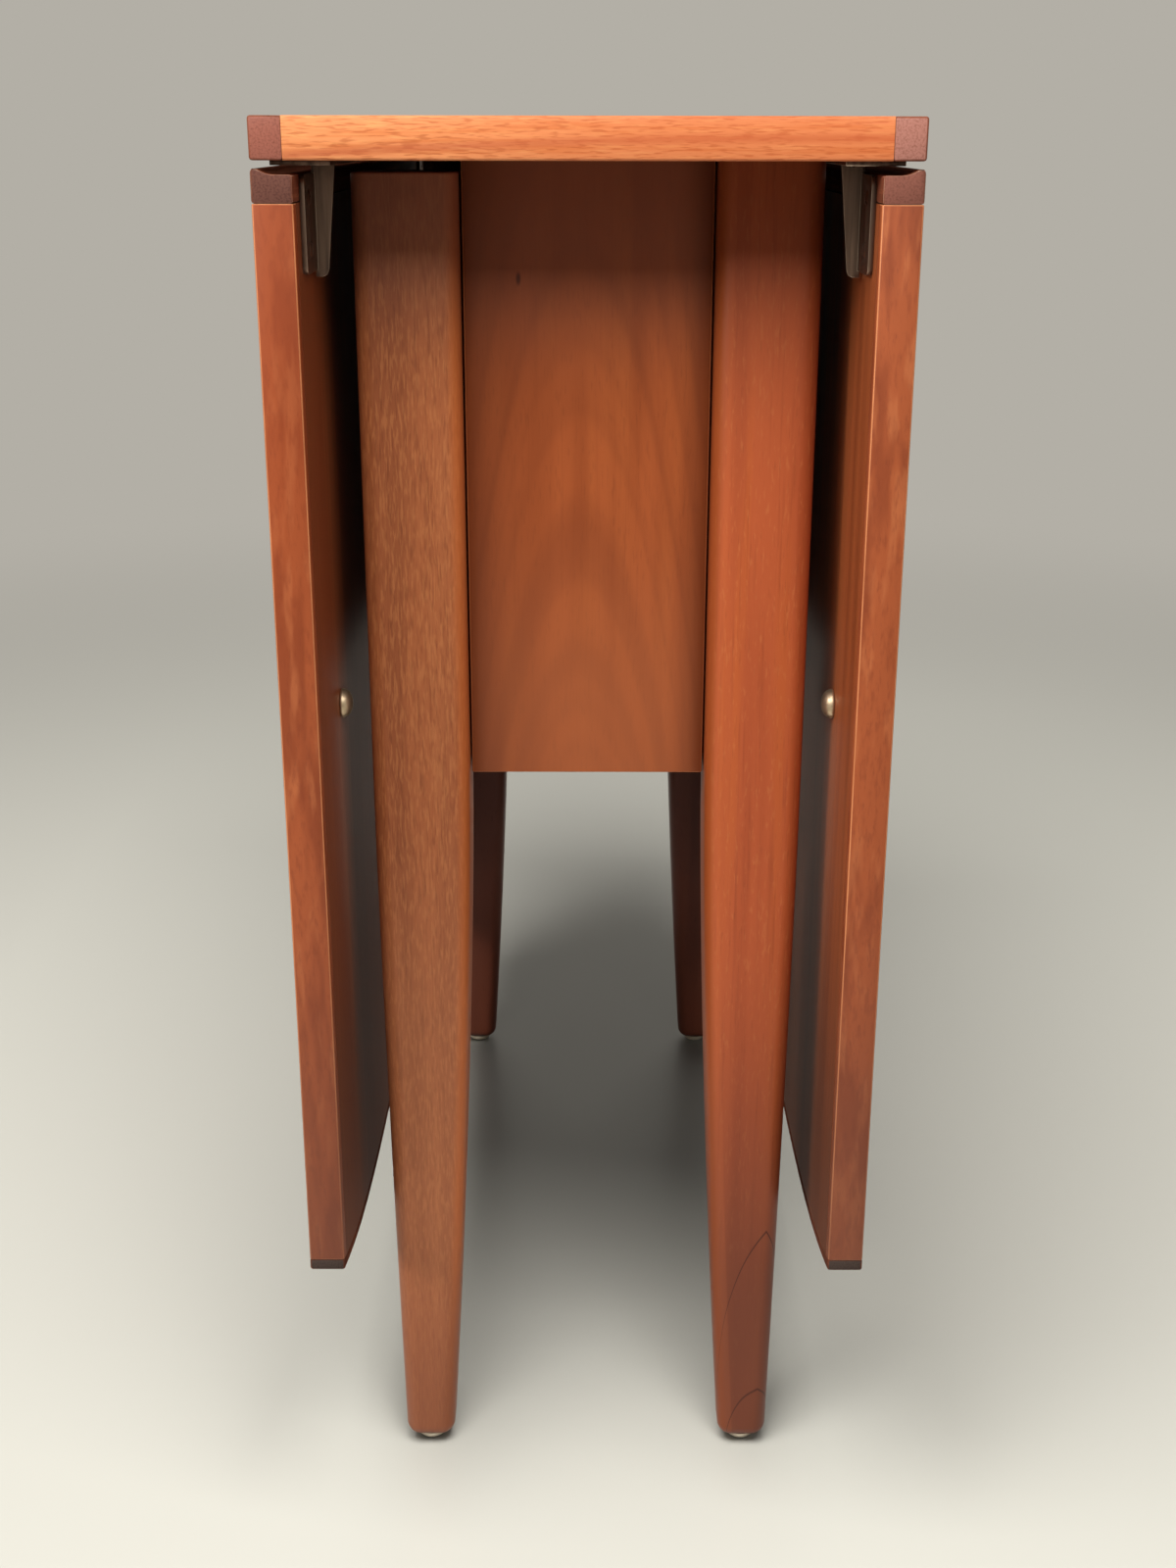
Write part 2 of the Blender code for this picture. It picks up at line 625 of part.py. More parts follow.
def make_gate(name, side, end):
    """A gate: the leg at one end, a pivot stile toward the other, and two rails between them."""
    pivot_y = -end * GATE_STILE_FROM_MIDDLE
    carrier = axis_empty(f"gate_{name}_axis", (side * LEG_X, pivot_y, 0))
    shape = leg_shape(side, end, UNDERSIDE - GATE_LEG_DROP, LEG_TOP_CHAMFER)
    piece(f"leg_gate_{name}", shape, MATERIALS["leg"], carrier, smooth=True)
    make_foot_glide(name, side, end, carrier)

    upper_bearer_low = UNDERSIDE - SEAT_GAP - UPPER_BEARER_THICKNESS
    lower_bearer_top = PEDESTAL_Z + LOWER_BEARER_THICKNESS
    stile_low, stile_top = lower_bearer_top + SEAT_GAP, upper_bearer_low - SEAT_GAP
    half = GATE_STILE_SIZE / 2
    stile_shape = block(
        (side * (LEG_X - half), side * (LEG_X + half)),
        (pivot_y - half, pivot_y + half),
        (stile_low, stile_top),
    )
    round_corners(stile_shape, lambda edge: edge_runs(edge, 2), ARRIS, ARRIS_SEGMENTS)
    stile = piece(f"gate_stile_{name}", stile_shape, MATERIALS["beech"], carrier)
    axis = Vector((0, 0, 1))
    foot = Vector((side * LEG_X, pivot_y, 0))
    pins = rod(foot, axis, GATE_PIN_DIAMETER, PEDESTAL_Z, UNDERSIDE - SEAT_GAP * 2)
    combine(stile, helper(f"gate_stile_pins_{name}", pins, carrier), "UNION")

    rail_from = end * (LEG_INNER_Y - SEAT_GAP)
    rail_to = pivot_y + end * (half + SEAT_GAP)
    rail_x = (side * (LEG_X - GATE_RAIL_THICKNESS / 2), side * (LEG_X + GATE_RAIL_THICKNESS / 2))
    levels = {
        "upper": stile_top - GATE_RAIL_SETBACK - GATE_RAIL_HEIGHT,
        "lower": stile_low + GATE_RAIL_SETBACK,
    }
    for level, low in levels.items():
        rail = block(rail_x, (rail_from, rail_to), (low, low + GATE_RAIL_HEIGHT))
        round_corners(rail, lambda edge: edge_runs(edge, 1), ARRIS, ARRIS_SEGMENTS)
        piece(f"gate_{level}_rail_{name}", rail, MATERIALS["beech"], carrier)

    bore_diameter = GATE_PIN_DIAMETER + GATE_PIN_CLEARANCE
    bore = helper(
        f"gate_pin_bore_{name}",
        rod(foot, axis, bore_diameter, PEDESTAL_Z - CUTTER_SPARE, UNDERSIDE + CUTTER_SPARE),
    )
    bearer_x = (side * (PEDESTAL_X + SEAT_GAP), side * (LEG_X + half))
    bearer_y = (pivot_y - BEARER_LENGTH / 2, pivot_y + BEARER_LENGTH / 2)
    bearers = {
        "upper": (upper_bearer_low, UNDERSIDE - SEAT_GAP),
        "lower": (PEDESTAL_Z, lower_bearer_top),
    }
    for level, height in bearers.items():
        bearer = piece(
            f"gate_{level}_bearer_{name}", block(bearer_x, bearer_y, height), MATERIALS["beech"]
        )
        combine(bearer, bore, "DIFFERENCE")


def make_table():
    make_top()
    for side_name, side in SIDES.items():
        make_leaf(side_name, side)
    make_pedestal()
    make_fixed_leg("near_right", RIGHT, NEAR)
    make_fixed_leg("far_left", LEFT, FAR)
    make_gate("near_left", LEFT, NEAR)
    make_gate("far_right", RIGHT, FAR)


clear_scene()
MATERIALS = {
    "veneer": finish("sapele_veneer", (0.235, 0.070, 0.028), 0.35),
    "top_lipping": finish("top_end_lipping_wood", (0.420, 0.135, 0.040), 0.35),
    "lipping": finish("dark_lipping_wood", (0.080, 0.024, 0.014), 0.38),
    "leaf_lipping": finish("leaf_end_lipping_wood", (0.270, 0.078, 0.030), 0.36),
    "panel": finish("pedestal_veneer", (0.200, 0.058, 0.024), 0.36),
    "leg": finish("leg_wood", (0.215, 0.062, 0.024), 0.34),
    "beech": finish("stained_beech", (0.120, 0.048, 0.024), 0.5),
    "bronze": finish("bronzed_steel", (0.110, 0.070, 0.050), 0.45, 1.0),
    "brass": finish("satin_brass", (0.450, 0.330, 0.200), 0.35, 1.0),
    "helper": finish("cutter", (0.8, 0.1, 0.1), 0.5),
}
make_table()
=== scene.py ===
"""The looks of a drop-leaf dining table with both leaves hanging.

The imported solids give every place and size. This script copies their meshes, eases what was left sharp,
adds the screws, and dresses each piece in its wood or metal. It then sets a plain studio round the table.
Metres, +Z up, the table's length along Y, the photographed end at -Y.
"""

from __future__ import annotations

import json
import logging
from dataclasses import dataclass, field, replace
from enum import Enum
from math import cos, pi, radians, sin
from typing import Any

import bmesh
import bpy
from bmesh.types import BMEdge, BMesh, BMVert
from bpy.types import Material, Node, NodeSocket, NodeTree, Object
from mathutils import Euler, Matrix, Vector

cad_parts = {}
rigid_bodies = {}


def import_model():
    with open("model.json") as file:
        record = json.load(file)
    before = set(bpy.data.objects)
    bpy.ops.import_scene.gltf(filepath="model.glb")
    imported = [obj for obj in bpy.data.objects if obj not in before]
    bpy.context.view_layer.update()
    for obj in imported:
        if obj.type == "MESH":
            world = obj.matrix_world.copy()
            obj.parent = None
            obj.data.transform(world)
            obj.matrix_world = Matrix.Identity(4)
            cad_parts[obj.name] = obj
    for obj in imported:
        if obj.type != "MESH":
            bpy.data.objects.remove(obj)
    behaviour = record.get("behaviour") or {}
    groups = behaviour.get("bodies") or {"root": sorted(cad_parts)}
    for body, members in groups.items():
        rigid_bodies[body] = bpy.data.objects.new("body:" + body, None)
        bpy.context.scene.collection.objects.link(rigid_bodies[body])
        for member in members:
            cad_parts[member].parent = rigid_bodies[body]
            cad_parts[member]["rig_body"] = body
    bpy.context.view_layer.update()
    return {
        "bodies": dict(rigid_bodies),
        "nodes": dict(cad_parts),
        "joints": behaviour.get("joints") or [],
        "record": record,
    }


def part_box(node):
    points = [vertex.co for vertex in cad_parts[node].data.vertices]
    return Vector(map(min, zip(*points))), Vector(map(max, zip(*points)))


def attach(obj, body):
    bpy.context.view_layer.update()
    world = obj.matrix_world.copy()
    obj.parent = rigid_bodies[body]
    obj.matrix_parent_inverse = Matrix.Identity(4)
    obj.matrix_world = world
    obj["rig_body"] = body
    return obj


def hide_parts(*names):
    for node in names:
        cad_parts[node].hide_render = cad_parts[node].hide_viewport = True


LOG = logging.getLogger("table")
MILLIMETRE = 0.001
SAME_PLACE = 0.000001
POLE_GAP = 0.00001
QUARTER_TURN = pi / 2
GOLDEN_TURN = pi * (3 - 5**0.5)
DOWN = Vector((0, 0, -1))

NONE_TO_ALL = (0.0, 1.0)
# The Mix node's sockets when it mixes colours
MIX_SHARE, MIX_UNDER, MIX_OVER, MIX_RESULT = 0, 6, 7, 2
# How many finer noises are laid into a noise
WANDER_DETAIL, SPECK_DETAIL, PATINA_DETAIL, RUB_DETAIL = 2.0, 3.0, 4.0, 3.0

Pair = tuple[float, float]
Triple = tuple[float, float, float]
Colour = NodeSocket | tuple[float, float, float, float]
Box = tuple[Vector, Vector]


def linear(colour: str) -> tuple[float, float, float, float]:
    """Turns an sRGB hex colour to the linear colour that shaders use.

    Args:
        colour: Six hex digits after a hash sign.

    Returns:
        Linear red, green, blue and an alpha of one.
    """
    shares = [int(colour[start : start + 2], 16) / 255 for start in (1, 3, 5)]
    red, green, blue = (s / 12.92 if s <= 0.04045 else ((s + 0.055) / 1.055) ** 2.4 for s in shares)
    return red, green, blue, 1.0


def per_metre(across_mm: float, along_mm: float) -> Triple:
    """How often a pattern of two sizes repeats in a metre: twice across the fibres, then along them."""
    across, along = 1 / (across_mm * MILLIMETRE), 1 / (along_mm * MILLIMETRE)
    return across, across, along


def add_node(
    tree: NodeTree, kind: str, inputs: dict[str | int, Any] | None = None, **settings: Any
) -> Node:
    """Adds a node with its settings, its values and its links.

    Args:
        tree: The node tree that takes the node.
        kind: The node's type name, after the word ShaderNode.
        inputs: Input names or numbers, each with a value, or with an output socket to link from.
        **settings: Properties of the node, such as an operation or a data type.

    Returns:
        The new node.
    """
    node = tree.nodes.new(f"ShaderNode{kind}")
    for name, value in settings.items():
        setattr(node, name, value)
    for key, value in (inputs or {}).items():
        if isinstance(value, NodeSocket):
            tree.links.new(value, node.inputs[key])
        else:
            node.inputs[key].default_value = value
    return node


def lay_tone(
    tree: NodeTree,
    value: NodeSocket,
    span: Pair,
    shares: Pair,
    colours: tuple[Colour, Colour],
    interpolation: str = "SMOOTHSTEP",
    limit: NodeSocket | None = None,
) -> tuple[NodeSocket, NodeSocket]:
    """Lays one colour over another, by a share that follows a value.

    Args:
        tree: The material's nodes.
        value: What the share follows.
        span: The two values between which the share changes.
        shares: The share at those two values.
        colours: The colour under, and the colour that is laid over it.
        interpolation: How the share changes between the two values.
        limit: What the share is multiplied by, where that is given.

    Returns:
        The new colour, and the share at each point.
    """
    ends = {"From Min": span[0], "From Max": span[1], "To Min": shares[0], "To Max": shares[1]}
    followed = add_node(tree, "MapRange", {"Value": value, **ends}, interpolation_type=interpolation)
    share = followed.outputs["Result"]
    if limit is not None:
        limited = add_node(tree, "Math", {0: share, 1: limit}, operation="MULTIPLY", use_clamp=True)
        share = limited.outputs[0]
    inputs = {MIX_SHARE: share, MIX_UNDER: colours[0], MIX_OVER: colours[1]}
    mixed = add_node(tree, "Mix", inputs, data_type="RGBA")
    return mixed.outputs[MIX_RESULT], share


def new_material(name: str) -> tuple[Material, NodeTree, Node]:
    """Makes an empty material.

    Args:
        name: The material's name.

    Returns:
        The material, its node tree and its Principled shader.
    """
    material = bpy.data.materials.new(name)
    material.use_nodes = True
    tree = material.node_tree
    return material, tree, tree.nodes["Principled BSDF"]


class Grain(Enum):
    """The way a wood's fibres run, with the turn that lays them along the pattern's Z axis."""

    ALONG_X = (0.0, QUARTER_TURN, 0.0)
    ALONG_Y = (QUARTER_TURN, 0.0, 0.0)
    ALONG_Z = (0.0, 0.0, 0.0)

    @property
    def axis(self) -> Triple:
        """The fibres' direction on the object."""
        return tuple(float(name == self.name[-1]) for name in "XYZ")


class Axis(Enum):
    """A direction of the table's frame, by the name of its coordinate."""

    X = "X"
    Z = "Z"


@dataclass(frozen=True)
class GrainLayer:
    """One tone of the figure, drawn where a stretched noise passes its threshold."""

    colour: str
    across_mm: float
    along_mm: float
    start: float
    full: float
    strength: float
    detail: float = 2.0
    relief: float = 0.0
    noise_roughness: float = 0.55

    def draw(
        self, tree: NodeTree, fibres: NodeSocket, under: Colour
    ) -> tuple[NodeSocket, NodeSocket]:
        """Lays the tone over the colour under it.

        Args:
            tree: The material's nodes.
            fibres: Coordinates in metres, with Z along the fibres.
            under: The colour so far.

        Returns:
            The new colour, and the share of the tone at each point.
        """
        scale = per_metre(self.across_mm, self.along_mm)
        stretched = add_node(tree, "VectorMath", {0: fibres, 1: scale}, operation="MULTIPLY")
        look = {"Scale": 1.0, "Detail": self.detail, "Roughness": self.noise_roughness}
        noise = add_node(tree, "TexNoise", {"Vector": stretched.outputs[0], **look}).outputs["Fac"]
        tones = (under, linear(self.colour))
        return lay_tone(tree, noise, (self.start, self.full), (0.0, self.strength), tones)


@dataclass(frozen=True)
class GrainLine:
    """One line of the figure that falls away from a point: a growth ring's edge or a streak.

    At a distance s from the apex the line lies slope s + square s^2 + cubic s^3 below it. The distance is
    taken along X to either side, and round the corner toward +Y where the line wraps a leg.
    """

    colour: str
    apex: Triple
    slope: float
    square: float
    cubic: float
    half_width_mm: float
    strength: float
    wraps: bool = False

    def draw(self, tree: NodeTree, place: Node, under: Colour) -> NodeSocket:
        """Lays the line over the colour under it.

        Args:
            tree: The material's nodes.
            place: The Texture Coordinate node.
            under: The colour so far.

        Returns:
            The new colour.
        """
        x, y, z = add_node(tree, "SeparateXYZ", {0: place.outputs["Object"]}).outputs
        side = add_node(tree, "Math", {0: self.apex[0], 1: x}, operation="SUBTRACT").outputs[0]
        distance = add_node(tree, "Math", {0: side}, operation="ABSOLUTE").outputs[0]
        if self.wraps:
            back = add_node(tree, "Math", {0: y, 1: self.apex[1]}, operation="SUBTRACT").outputs[0]
            distance = add_node(tree, "Math", {0: distance, 1: back}, operation="ADD").outputs[0]
        # Horner's form of the fall, from the cubic term inwards
        fall: NodeSocket | float = self.cubic
        for lower in (self.square, self.slope, z):
            terms = {0: fall, 1: distance, 2: lower}
            fall = add_node(tree, "Math", terms, operation="MULTIPLY_ADD").outputs[0]
        off = add_node(tree, "Math", {0: fall, 1: self.apex[2]}, operation="SUBTRACT").outputs[0]
        away = add_node(tree, "Math", {0: off}, operation="ABSOLUTE").outputs[0]
        reach = self.half_width_mm * MILLIMETRE
        tones = (under, linear(self.colour))
        return lay_tone(tree, away, (0.0, reach), (self.strength, 0.0), tones)[0]


@dataclass(frozen=True)
class Cathedral:
    """The arched figure of a flat-cut veneer: soft arcs that stand on the panel's middle line."""

    colour: str
    centre_x: float
    steepness: float
    spacing_mm: float
    strength: float
    start: float = 0.42
    full: float = 0.68
    detail: float = 2.0

    def draw(self, tree: NodeTree, place: Node, under: Colour) -> NodeSocket:
        """Lays the arcs over the colour under them.

        Args:
            tree: The material's nodes.
            place: The Texture Coordinate node.
            under: The colour so far.

        Returns:
            The new colour.
        """
        x, _, z = add_node(tree, "SeparateXYZ", {0: place.outputs["Object"]}).outputs
        side = add_node(tree, "Math", {0: x, 1: self.centre_x}, operation="SUBTRACT").outputs[0]
        bent = add_node(tree, "Math", {0: side, 1: self.steepness}, operation="MULTIPLY").outputs[0]
        arch = add_node(tree, "Math", {0: bent, 1: side, 2: z}, operation="MULTIPLY_ADD").outputs[0]
        look = {"Scale": 1 / (self.spacing_mm * MILLIMETRE), "Detail": self.detail}
        noise = add_node(tree, "TexNoise", {"W": arch, **look}, noise_dimensions="1D").outputs["Fac"]
        tones = (under, linear(self.colour))
        return lay_tone(tree, noise, (self.start, self.full), (0.0, self.strength), tones)[0]


@dataclass(frozen=True)
class Knot:
    """A pin knot: a small dark spot drawn out along the fibres of an upright piece.

    It is fully dark within the core's share of its size.
    """

    colour: str
    centre: Triple
    half_width_mm: float
    half_height_mm: float
    strength: float
    core_share: float = 0.3

    def draw(self, tree: NodeTree, place: Node, under: Colour) -> NodeSocket:
        """Lays the knot over the colour under it.

        Args:
            tree: The material's nodes.
            place: The Texture Coordinate node.
            under: The colour so far.

        Returns:
            The new colour.
        """
        centred = {0: place.outputs["Object"], 1: self.centre}
        off = add_node(tree, "VectorMath", centred, operation="SUBTRACT").outputs[0]
        scale = per_metre(self.half_width_mm, self.half_height_mm)
        scaled = add_node(tree, "VectorMath", {0: off, 1: scale}, operation="MULTIPLY").outputs[0]
        reach = add_node(tree, "VectorMath", {0: scaled}, operation="LENGTH").outputs["Value"]
        tones = (under, linear(self.colour))
        return lay_tone(tree, reach, (self.core_share, 1.0), (self.strength, 0.0), tones)[0]


@dataclass(frozen=True)
class Fade:
    """A slow change of tone along a piece, from none at its start to its full strength.

    Where a direction is given, only the faces that look that way take the tone.
    """

    colour: str
    axis: Axis
    start: float
    full: float
    strength: float
    toward: Triple | None = None

    def draw(self, tree: NodeTree, place: Node, under: Colour) -> NodeSocket:
        """Lays the tone over the colour under it.

        Args:
            tree: The material's nodes.
            place: The Texture Coordinate node.
            under: The colour so far.

        Returns:
            The new colour.
        """
        split = add_node(tree, "SeparateXYZ", {0: place.outputs["Object"]})
        level = split.outputs[self.axis.value]
        facing = None
        if self.toward:
            looks = {0: place.outputs["Normal"], 1: self.toward}
            facing = add_node(tree, "VectorMath", looks, operation="DOT_PRODUCT").outputs["Value"]
        span, shares = (self.start, self.full), (0.0, self.strength)
        return lay_tone(tree, level, span, shares, (under, linear(self.colour)), limit=facing)[0]


@dataclass(frozen=True)
class Flank:
    """A tone on the faces that look one way: painted light or shade on a leg's sides."""

    colour: str
    toward: Triple
    start: float
    full: float
    strength: float

    def draw(self, tree: NodeTree, place: Node, under: Colour) -> NodeSocket:
        """Lays the tone over the colour under it.

        Args:
            tree: The material's nodes.
            place: The Texture Coordinate node.
            under: The colour so far.

        Returns:
            The new colour.
        """
        looks = {0: place.outputs["Normal"], 1: self.toward}
        facing = add_node(tree, "VectorMath", looks, operation="DOT_PRODUCT").outputs["Value"]
        span, shares = (self.start, self.full), (0.0, self.strength)
        return lay_tone(tree, facing, span, shares, (under, linear(self.colour)))[0]


Mark = GrainLine | Cathedral | Knot | Fade | Flank


@dataclass(frozen=True)
class WoodFinish:
    """A hardwood under a thin satin oil: fibres, bands, pores, and end grain of its own tone.

    The fibres wander slowly, the bands follow the seasons' growth, and the pores are short dark dashes
    that the oil doesn't fill, so they dull and dent the surface.
    """

    name: str
    heart: str
    end_grain: str
    end_speck: str
    layers: tuple[GrainLayer, ...]
    marks: tuple[Mark, ...] = ()
    wander_mm: float = 5.0
    wander_across_mm: float = 45.0
    wander_along_mm: float = 260.0
    roughness: float = 0.40
    specular: float = 0.2
    pore_dulling: float = 0.14
    relief_mm: float = 0.12
    relief_strength: float = 0.35
    end_span: Pair = (0.80, 0.97)
    speck_mm: float = 0.9
    speck_span: Pair = (0.45, 0.75)
    shift: Triple = (0.0, 0.0, 0.0)

    def material(self, grain: Grain) -> Material:
        """Builds the finish for fibres that run one way.

        Args:
            grain: The fibres' direction on the object.

        Returns:
            The material.
        """
        material, tree, shader = new_material(f"{self.name}_{grain.name.lower()}")
        place = add_node(tree, "TexCoord")
        fibres = self._fibres(tree, place.outputs["Object"], grain)
        colour: Colour = linear(self.heart)
        reliefs = []
        for layer in self.layers:
            colour, share = layer.draw(tree, fibres, colour)
            if layer.relief:
                reliefs.append((share, layer.relief))
        for mark in self.marks:
            colour = mark.draw(tree, place, colour)
        colour = self._end_grain(tree, place, grain, colour)
        tree.links.new(colour, shader.inputs["Base Color"])
        shader.inputs["Specular IOR Level"].default_value = self.specular
        self._surface(tree, shader, reliefs)
        return material

    def _fibres(self, tree: NodeTree, place: NodeSocket, grain: Grain) -> NodeSocket:
        """Turns the fibres along Z and lets them wander from side to side.

        Args:
            tree: The material's nodes.
            place: Object coordinates.
            grain: The fibres' direction on the object.

        Returns:
            Coordinates in metres, with Z along the fibres.
        """
        turn = {"Vector": place, "Location": self.shift, "Rotation": grain.value}
        laid = add_node(tree, "Mapping", turn).outputs[0]
        scale = per_metre(self.wander_across_mm, self.wander_along_mm)
        slow = add_node(tree, "VectorMath", {0: laid, 1: scale}, operation="MULTIPLY").outputs[0]
        noise = add_node(tree, "TexNoise", {"Vector": slow, "Scale": 1.0, "Detail": WANDER_DETAIL})
        reach = self.wander_mm * MILLIMETRE
        sway = {0: noise.outputs["Color"], 1: (reach, reach, 0.0), 2: laid}
        return add_node(tree, "VectorMath", sway, operation="MULTIPLY_ADD").outputs[0]

    def _end_grain(self, tree: NodeTree, place: Node, grain: Grain, colour: Colour) -> NodeSocket:
        """Tones the faces that are cut across the fibres, and specks them with pores.

        Args:
            tree: The material's nodes.
            place: The Texture Coordinate node.
            grain: The fibres' direction on the object.
            colour: The colour so far.

        Returns:
            The new colour.
        """
        looks = {0: place.outputs["Normal"], 1: grain.axis}
        facing = add_node(tree, "VectorMath", looks, operation="DOT_PRODUCT").outputs["Value"]
        either = add_node(tree, "Math", {0: facing}, operation="ABSOLUTE").outputs[0]
        # Pores of 0.3 mm, drawn three times as wide so that they show at this distance
        look = {"Scale": 1 / (self.speck_mm * MILLIMETRE), "Detail": SPECK_DETAIL}
        specks = add_node(tree, "TexNoise", {"Vector": place.outputs["Object"], **look}).outputs["Fac"]
        cut = (linear(self.end_grain), linear(self.end_speck))
        specked, _ = lay_tone(tree, specks, self.speck_span, NONE_TO_ALL, cut, "LINEAR")
        return lay_tone(tree, either, self.end_span, NONE_TO_ALL, (colour, specked))[0]

    def _surface(
        self, tree: NodeTree, shader: Node, reliefs: list[tuple[NodeSocket, float]]
    ) -> None:
        """Dulls and dents the surface where the layers say so.

        Args:
            tree: The material's nodes.
            shader: The Principled shader.
            reliefs: Shares of the layers that dent the surface, each with its depth.
        """
        if not reliefs:
            shader.inputs["Roughness"].default_value = self.roughness
            return
        height: NodeSocket | float = 0.0
        for share, depth in reliefs:
            dent = {0: share, 1: -depth, 2: height}
            height = add_node(tree, "Math", dent, operation="MULTIPLY_ADD").outputs[0]
        dulled = {0: height, 1: -self.pore_dulling, 2: self.roughness}
        dull = add_node(tree, "Math", dulled, operation="MULTIPLY_ADD")
        tree.links.new(dull.outputs[0], shader.inputs["Roughness"])
        depth = {"Strength": self.relief_strength, "Distance": self.relief_mm * MILLIMETRE}
        bump = add_node(tree, "Bump", {"Height": height, **depth})
        tree.links.new(bump.outputs[0], shader.inputs["Normal"])


@dataclass(frozen=True)
class MetalFinish:
    """A drawn or pressed metal with a patina, cloudy or in upright streaks, and faint rub marks."""

    name: str
    colour: str
    patina: str
    patina_mm: Pair
    patina_share: float
    metallic: float
    roughness: float
    roughness_spread: float
    patina_span: Pair = (0.4, 0.7)
    rub_mm: float = 1.4
    rub_depth_mm: float = 0.05
    rub_strength: float = 0.12

    def material(self) -> Material:
        """Builds the finish.

        Returns:
            The material.
        """
        material, tree, shader = new_material(self.name)
        place = add_node(tree, "TexCoord").outputs["Object"]
        scale = per_metre(*self.patina_mm)
        drawn = add_node(tree, "VectorMath", {0: place, 1: scale}, operation="MULTIPLY").outputs[0]
        look = {"Scale": 1.0, "Detail": PATINA_DETAIL}
        cloud = add_node(tree, "TexNoise", {"Vector": drawn, **look}).outputs["Fac"]
        shares, tones = (0.0, self.patina_share), (linear(self.colour), linear(self.patina))
        colour, _ = lay_tone(tree, cloud, self.patina_span, shares, tones, "LINEAR")
        tree.links.new(colour, shader.inputs["Base Color"])
        shader.inputs["Metallic"].default_value = self.metallic
        look = {"Scale": 1 / (self.rub_mm * MILLIMETRE), "Detail": RUB_DETAIL}
        rub = add_node(tree, "TexNoise", {"Vector": place, **look}).outputs["Fac"]
        smoothest, roughest = self.roughness - self.roughness_spread, self.roughness + self.roughness_spread
        rough = add_node(tree, "MapRange", {"Value": rub, "To Min": smoothest, "To Max": roughest})
        tree.links.new(rough.outputs["Result"], shader.inputs["Roughness"])
        depth = {"Strength": self.rub_strength, "Distance": self.rub_depth_mm * MILLIMETRE}
        bump = add_node(tree, "Bump", {"Height": rub, **depth})
        tree.links.new(bump.outputs[0], shader.inputs["Normal"])
        return material


# Pores of this kind of hardwood are 0.3 mm wide, drawn at 0.8 mm so that they show
PORES = GrainLayer("#4a2416", 0.8, 9.0, 0.60, 0.76, 0.50, detail=1.0, relief=1.0)

# Solid sapele, planed and oiled: interlocked fibres that break the light into short flecks
GATE_LEG_WOOD = WoodFinish(
    name="flecked_sapele",
    heart="#ab623a",
    end_grain="#6a3f2e",
    end_speck="#4a2a1f",
    layers=(
        GrainLayer("#86482a", 17.0, 420.0, 0.44, 0.68, 0.50),
        GrainLayer("#b16a40", 9.0, 300.0, 0.52, 0.74, 0.45),
        GrainLayer("#7a3f25", 1.4, 40.0, 0.52, 0.76, 0.35, relief=0.25),
        GrainLayer("#c27a49", 1.1, 9.0, 0.47, 0.64, 0.50),
        GrainLayer("#743a20", 1.2, 12.0, 0.49, 0.70, 0.38),
        replace(PORES, strength=0.20),
    ),
    marks=(
        # Lighter towards the lower leg: painted light
        Fade("#bb7852", Axis.Z, 0.42, 0.26, 0.30),
        # The inner side lighter orange: partly paler wood, partly painted light
        Flank("#c56a33", (1.0, 0.0, 0.0), 0.10, 0.75, 0.60),
        # Darker at the foot: painted shade
        Fade("#74402a", Axis.Z, 0.17, 0.03, 0.62),
        # Greyer and darker at the head, under the top: painted shade
        Fade("#885643", Axis.Z, 0.62, 0.71, 0.65),
    ),
)

# The same timber cut nearer the heart: redder and quieter
FIXED_LEG_WOOD = WoodFinish(
    name="red_sapele",
    heart="#b35730",
    end_grain="#6a3a2a",
    end_speck="#48261c",
    layers=(
        GrainLayer("#924023", 20.0, 460.0, 0.44, 0.68, 0.55),
        GrainLayer("#bb5e2c", 11.0, 320.0, 0.52, 0.74, 0.45),
        GrainLayer("#7f371d", 1.8, 80.0, 0.52, 0.78, 0.35, relief=0.25),
        GrainLayer("#c47343", 1.6, 8.0, 0.54, 0.74, 0.35),
        replace(PORES, strength=0.16),
    ),
    shift=(0.31, 0.17, 0.05),
)

# Two growth rings that run out at the foot, where the taper cuts across them
RING_WOOD = replace(
    FIXED_LEG_WOOD,
    name="red_sapele_with_rings",
    marks=(
        # Darker and browner towards the foot: partly the wood, partly painted shade
        Fade("#643624", Axis.Z, 0.36, 0.06, 0.88),
        # Darker near the head, under the top: painted shade
        Fade("#7d3d20", Axis.Z, 0.54, 0.68, 0.45),
        # A paler band where the inner corner turns: painted highlight
        Flank("#c46a3a", (-1.0, 0.0, 0.0), 0.02, 0.12, 0.12),
        # The inner side darker: painted shade
        Flank("#8a4119", (-1.0, 0.0, 0.0), 0.25, 0.80, 0.60),
        GrainLine("#3c1c12", (0.1008, -0.2700, 0.1475), 1.45, 0.0, 2100.0, 1.5, 0.85, wraps=True),
        GrainLine("#3c1c12", (0.0993, -0.2670, 0.0399), 0.60, 0.0, 3900.0, 1.5, 0.80, wraps=True),
    ),
)

# A darker copy of the red sapele for the two far legs, with little figure: painted shade, for the shadow
# they stand in under the table
SHADED_FAR_LEG_WOOD = replace(
    FIXED_LEG_WOOD,
    name="dark_sapele",
    heart="#743d2a",
    layers=(
        GrainLayer("#5c2f21", 20.0, 460.0, 0.44, 0.68, 0.55),
        GrainLayer("#854a32", 11.0, 320.0, 0.52, 0.74, 0.45),
        replace(PORES, strength=0.25),
    ),
)

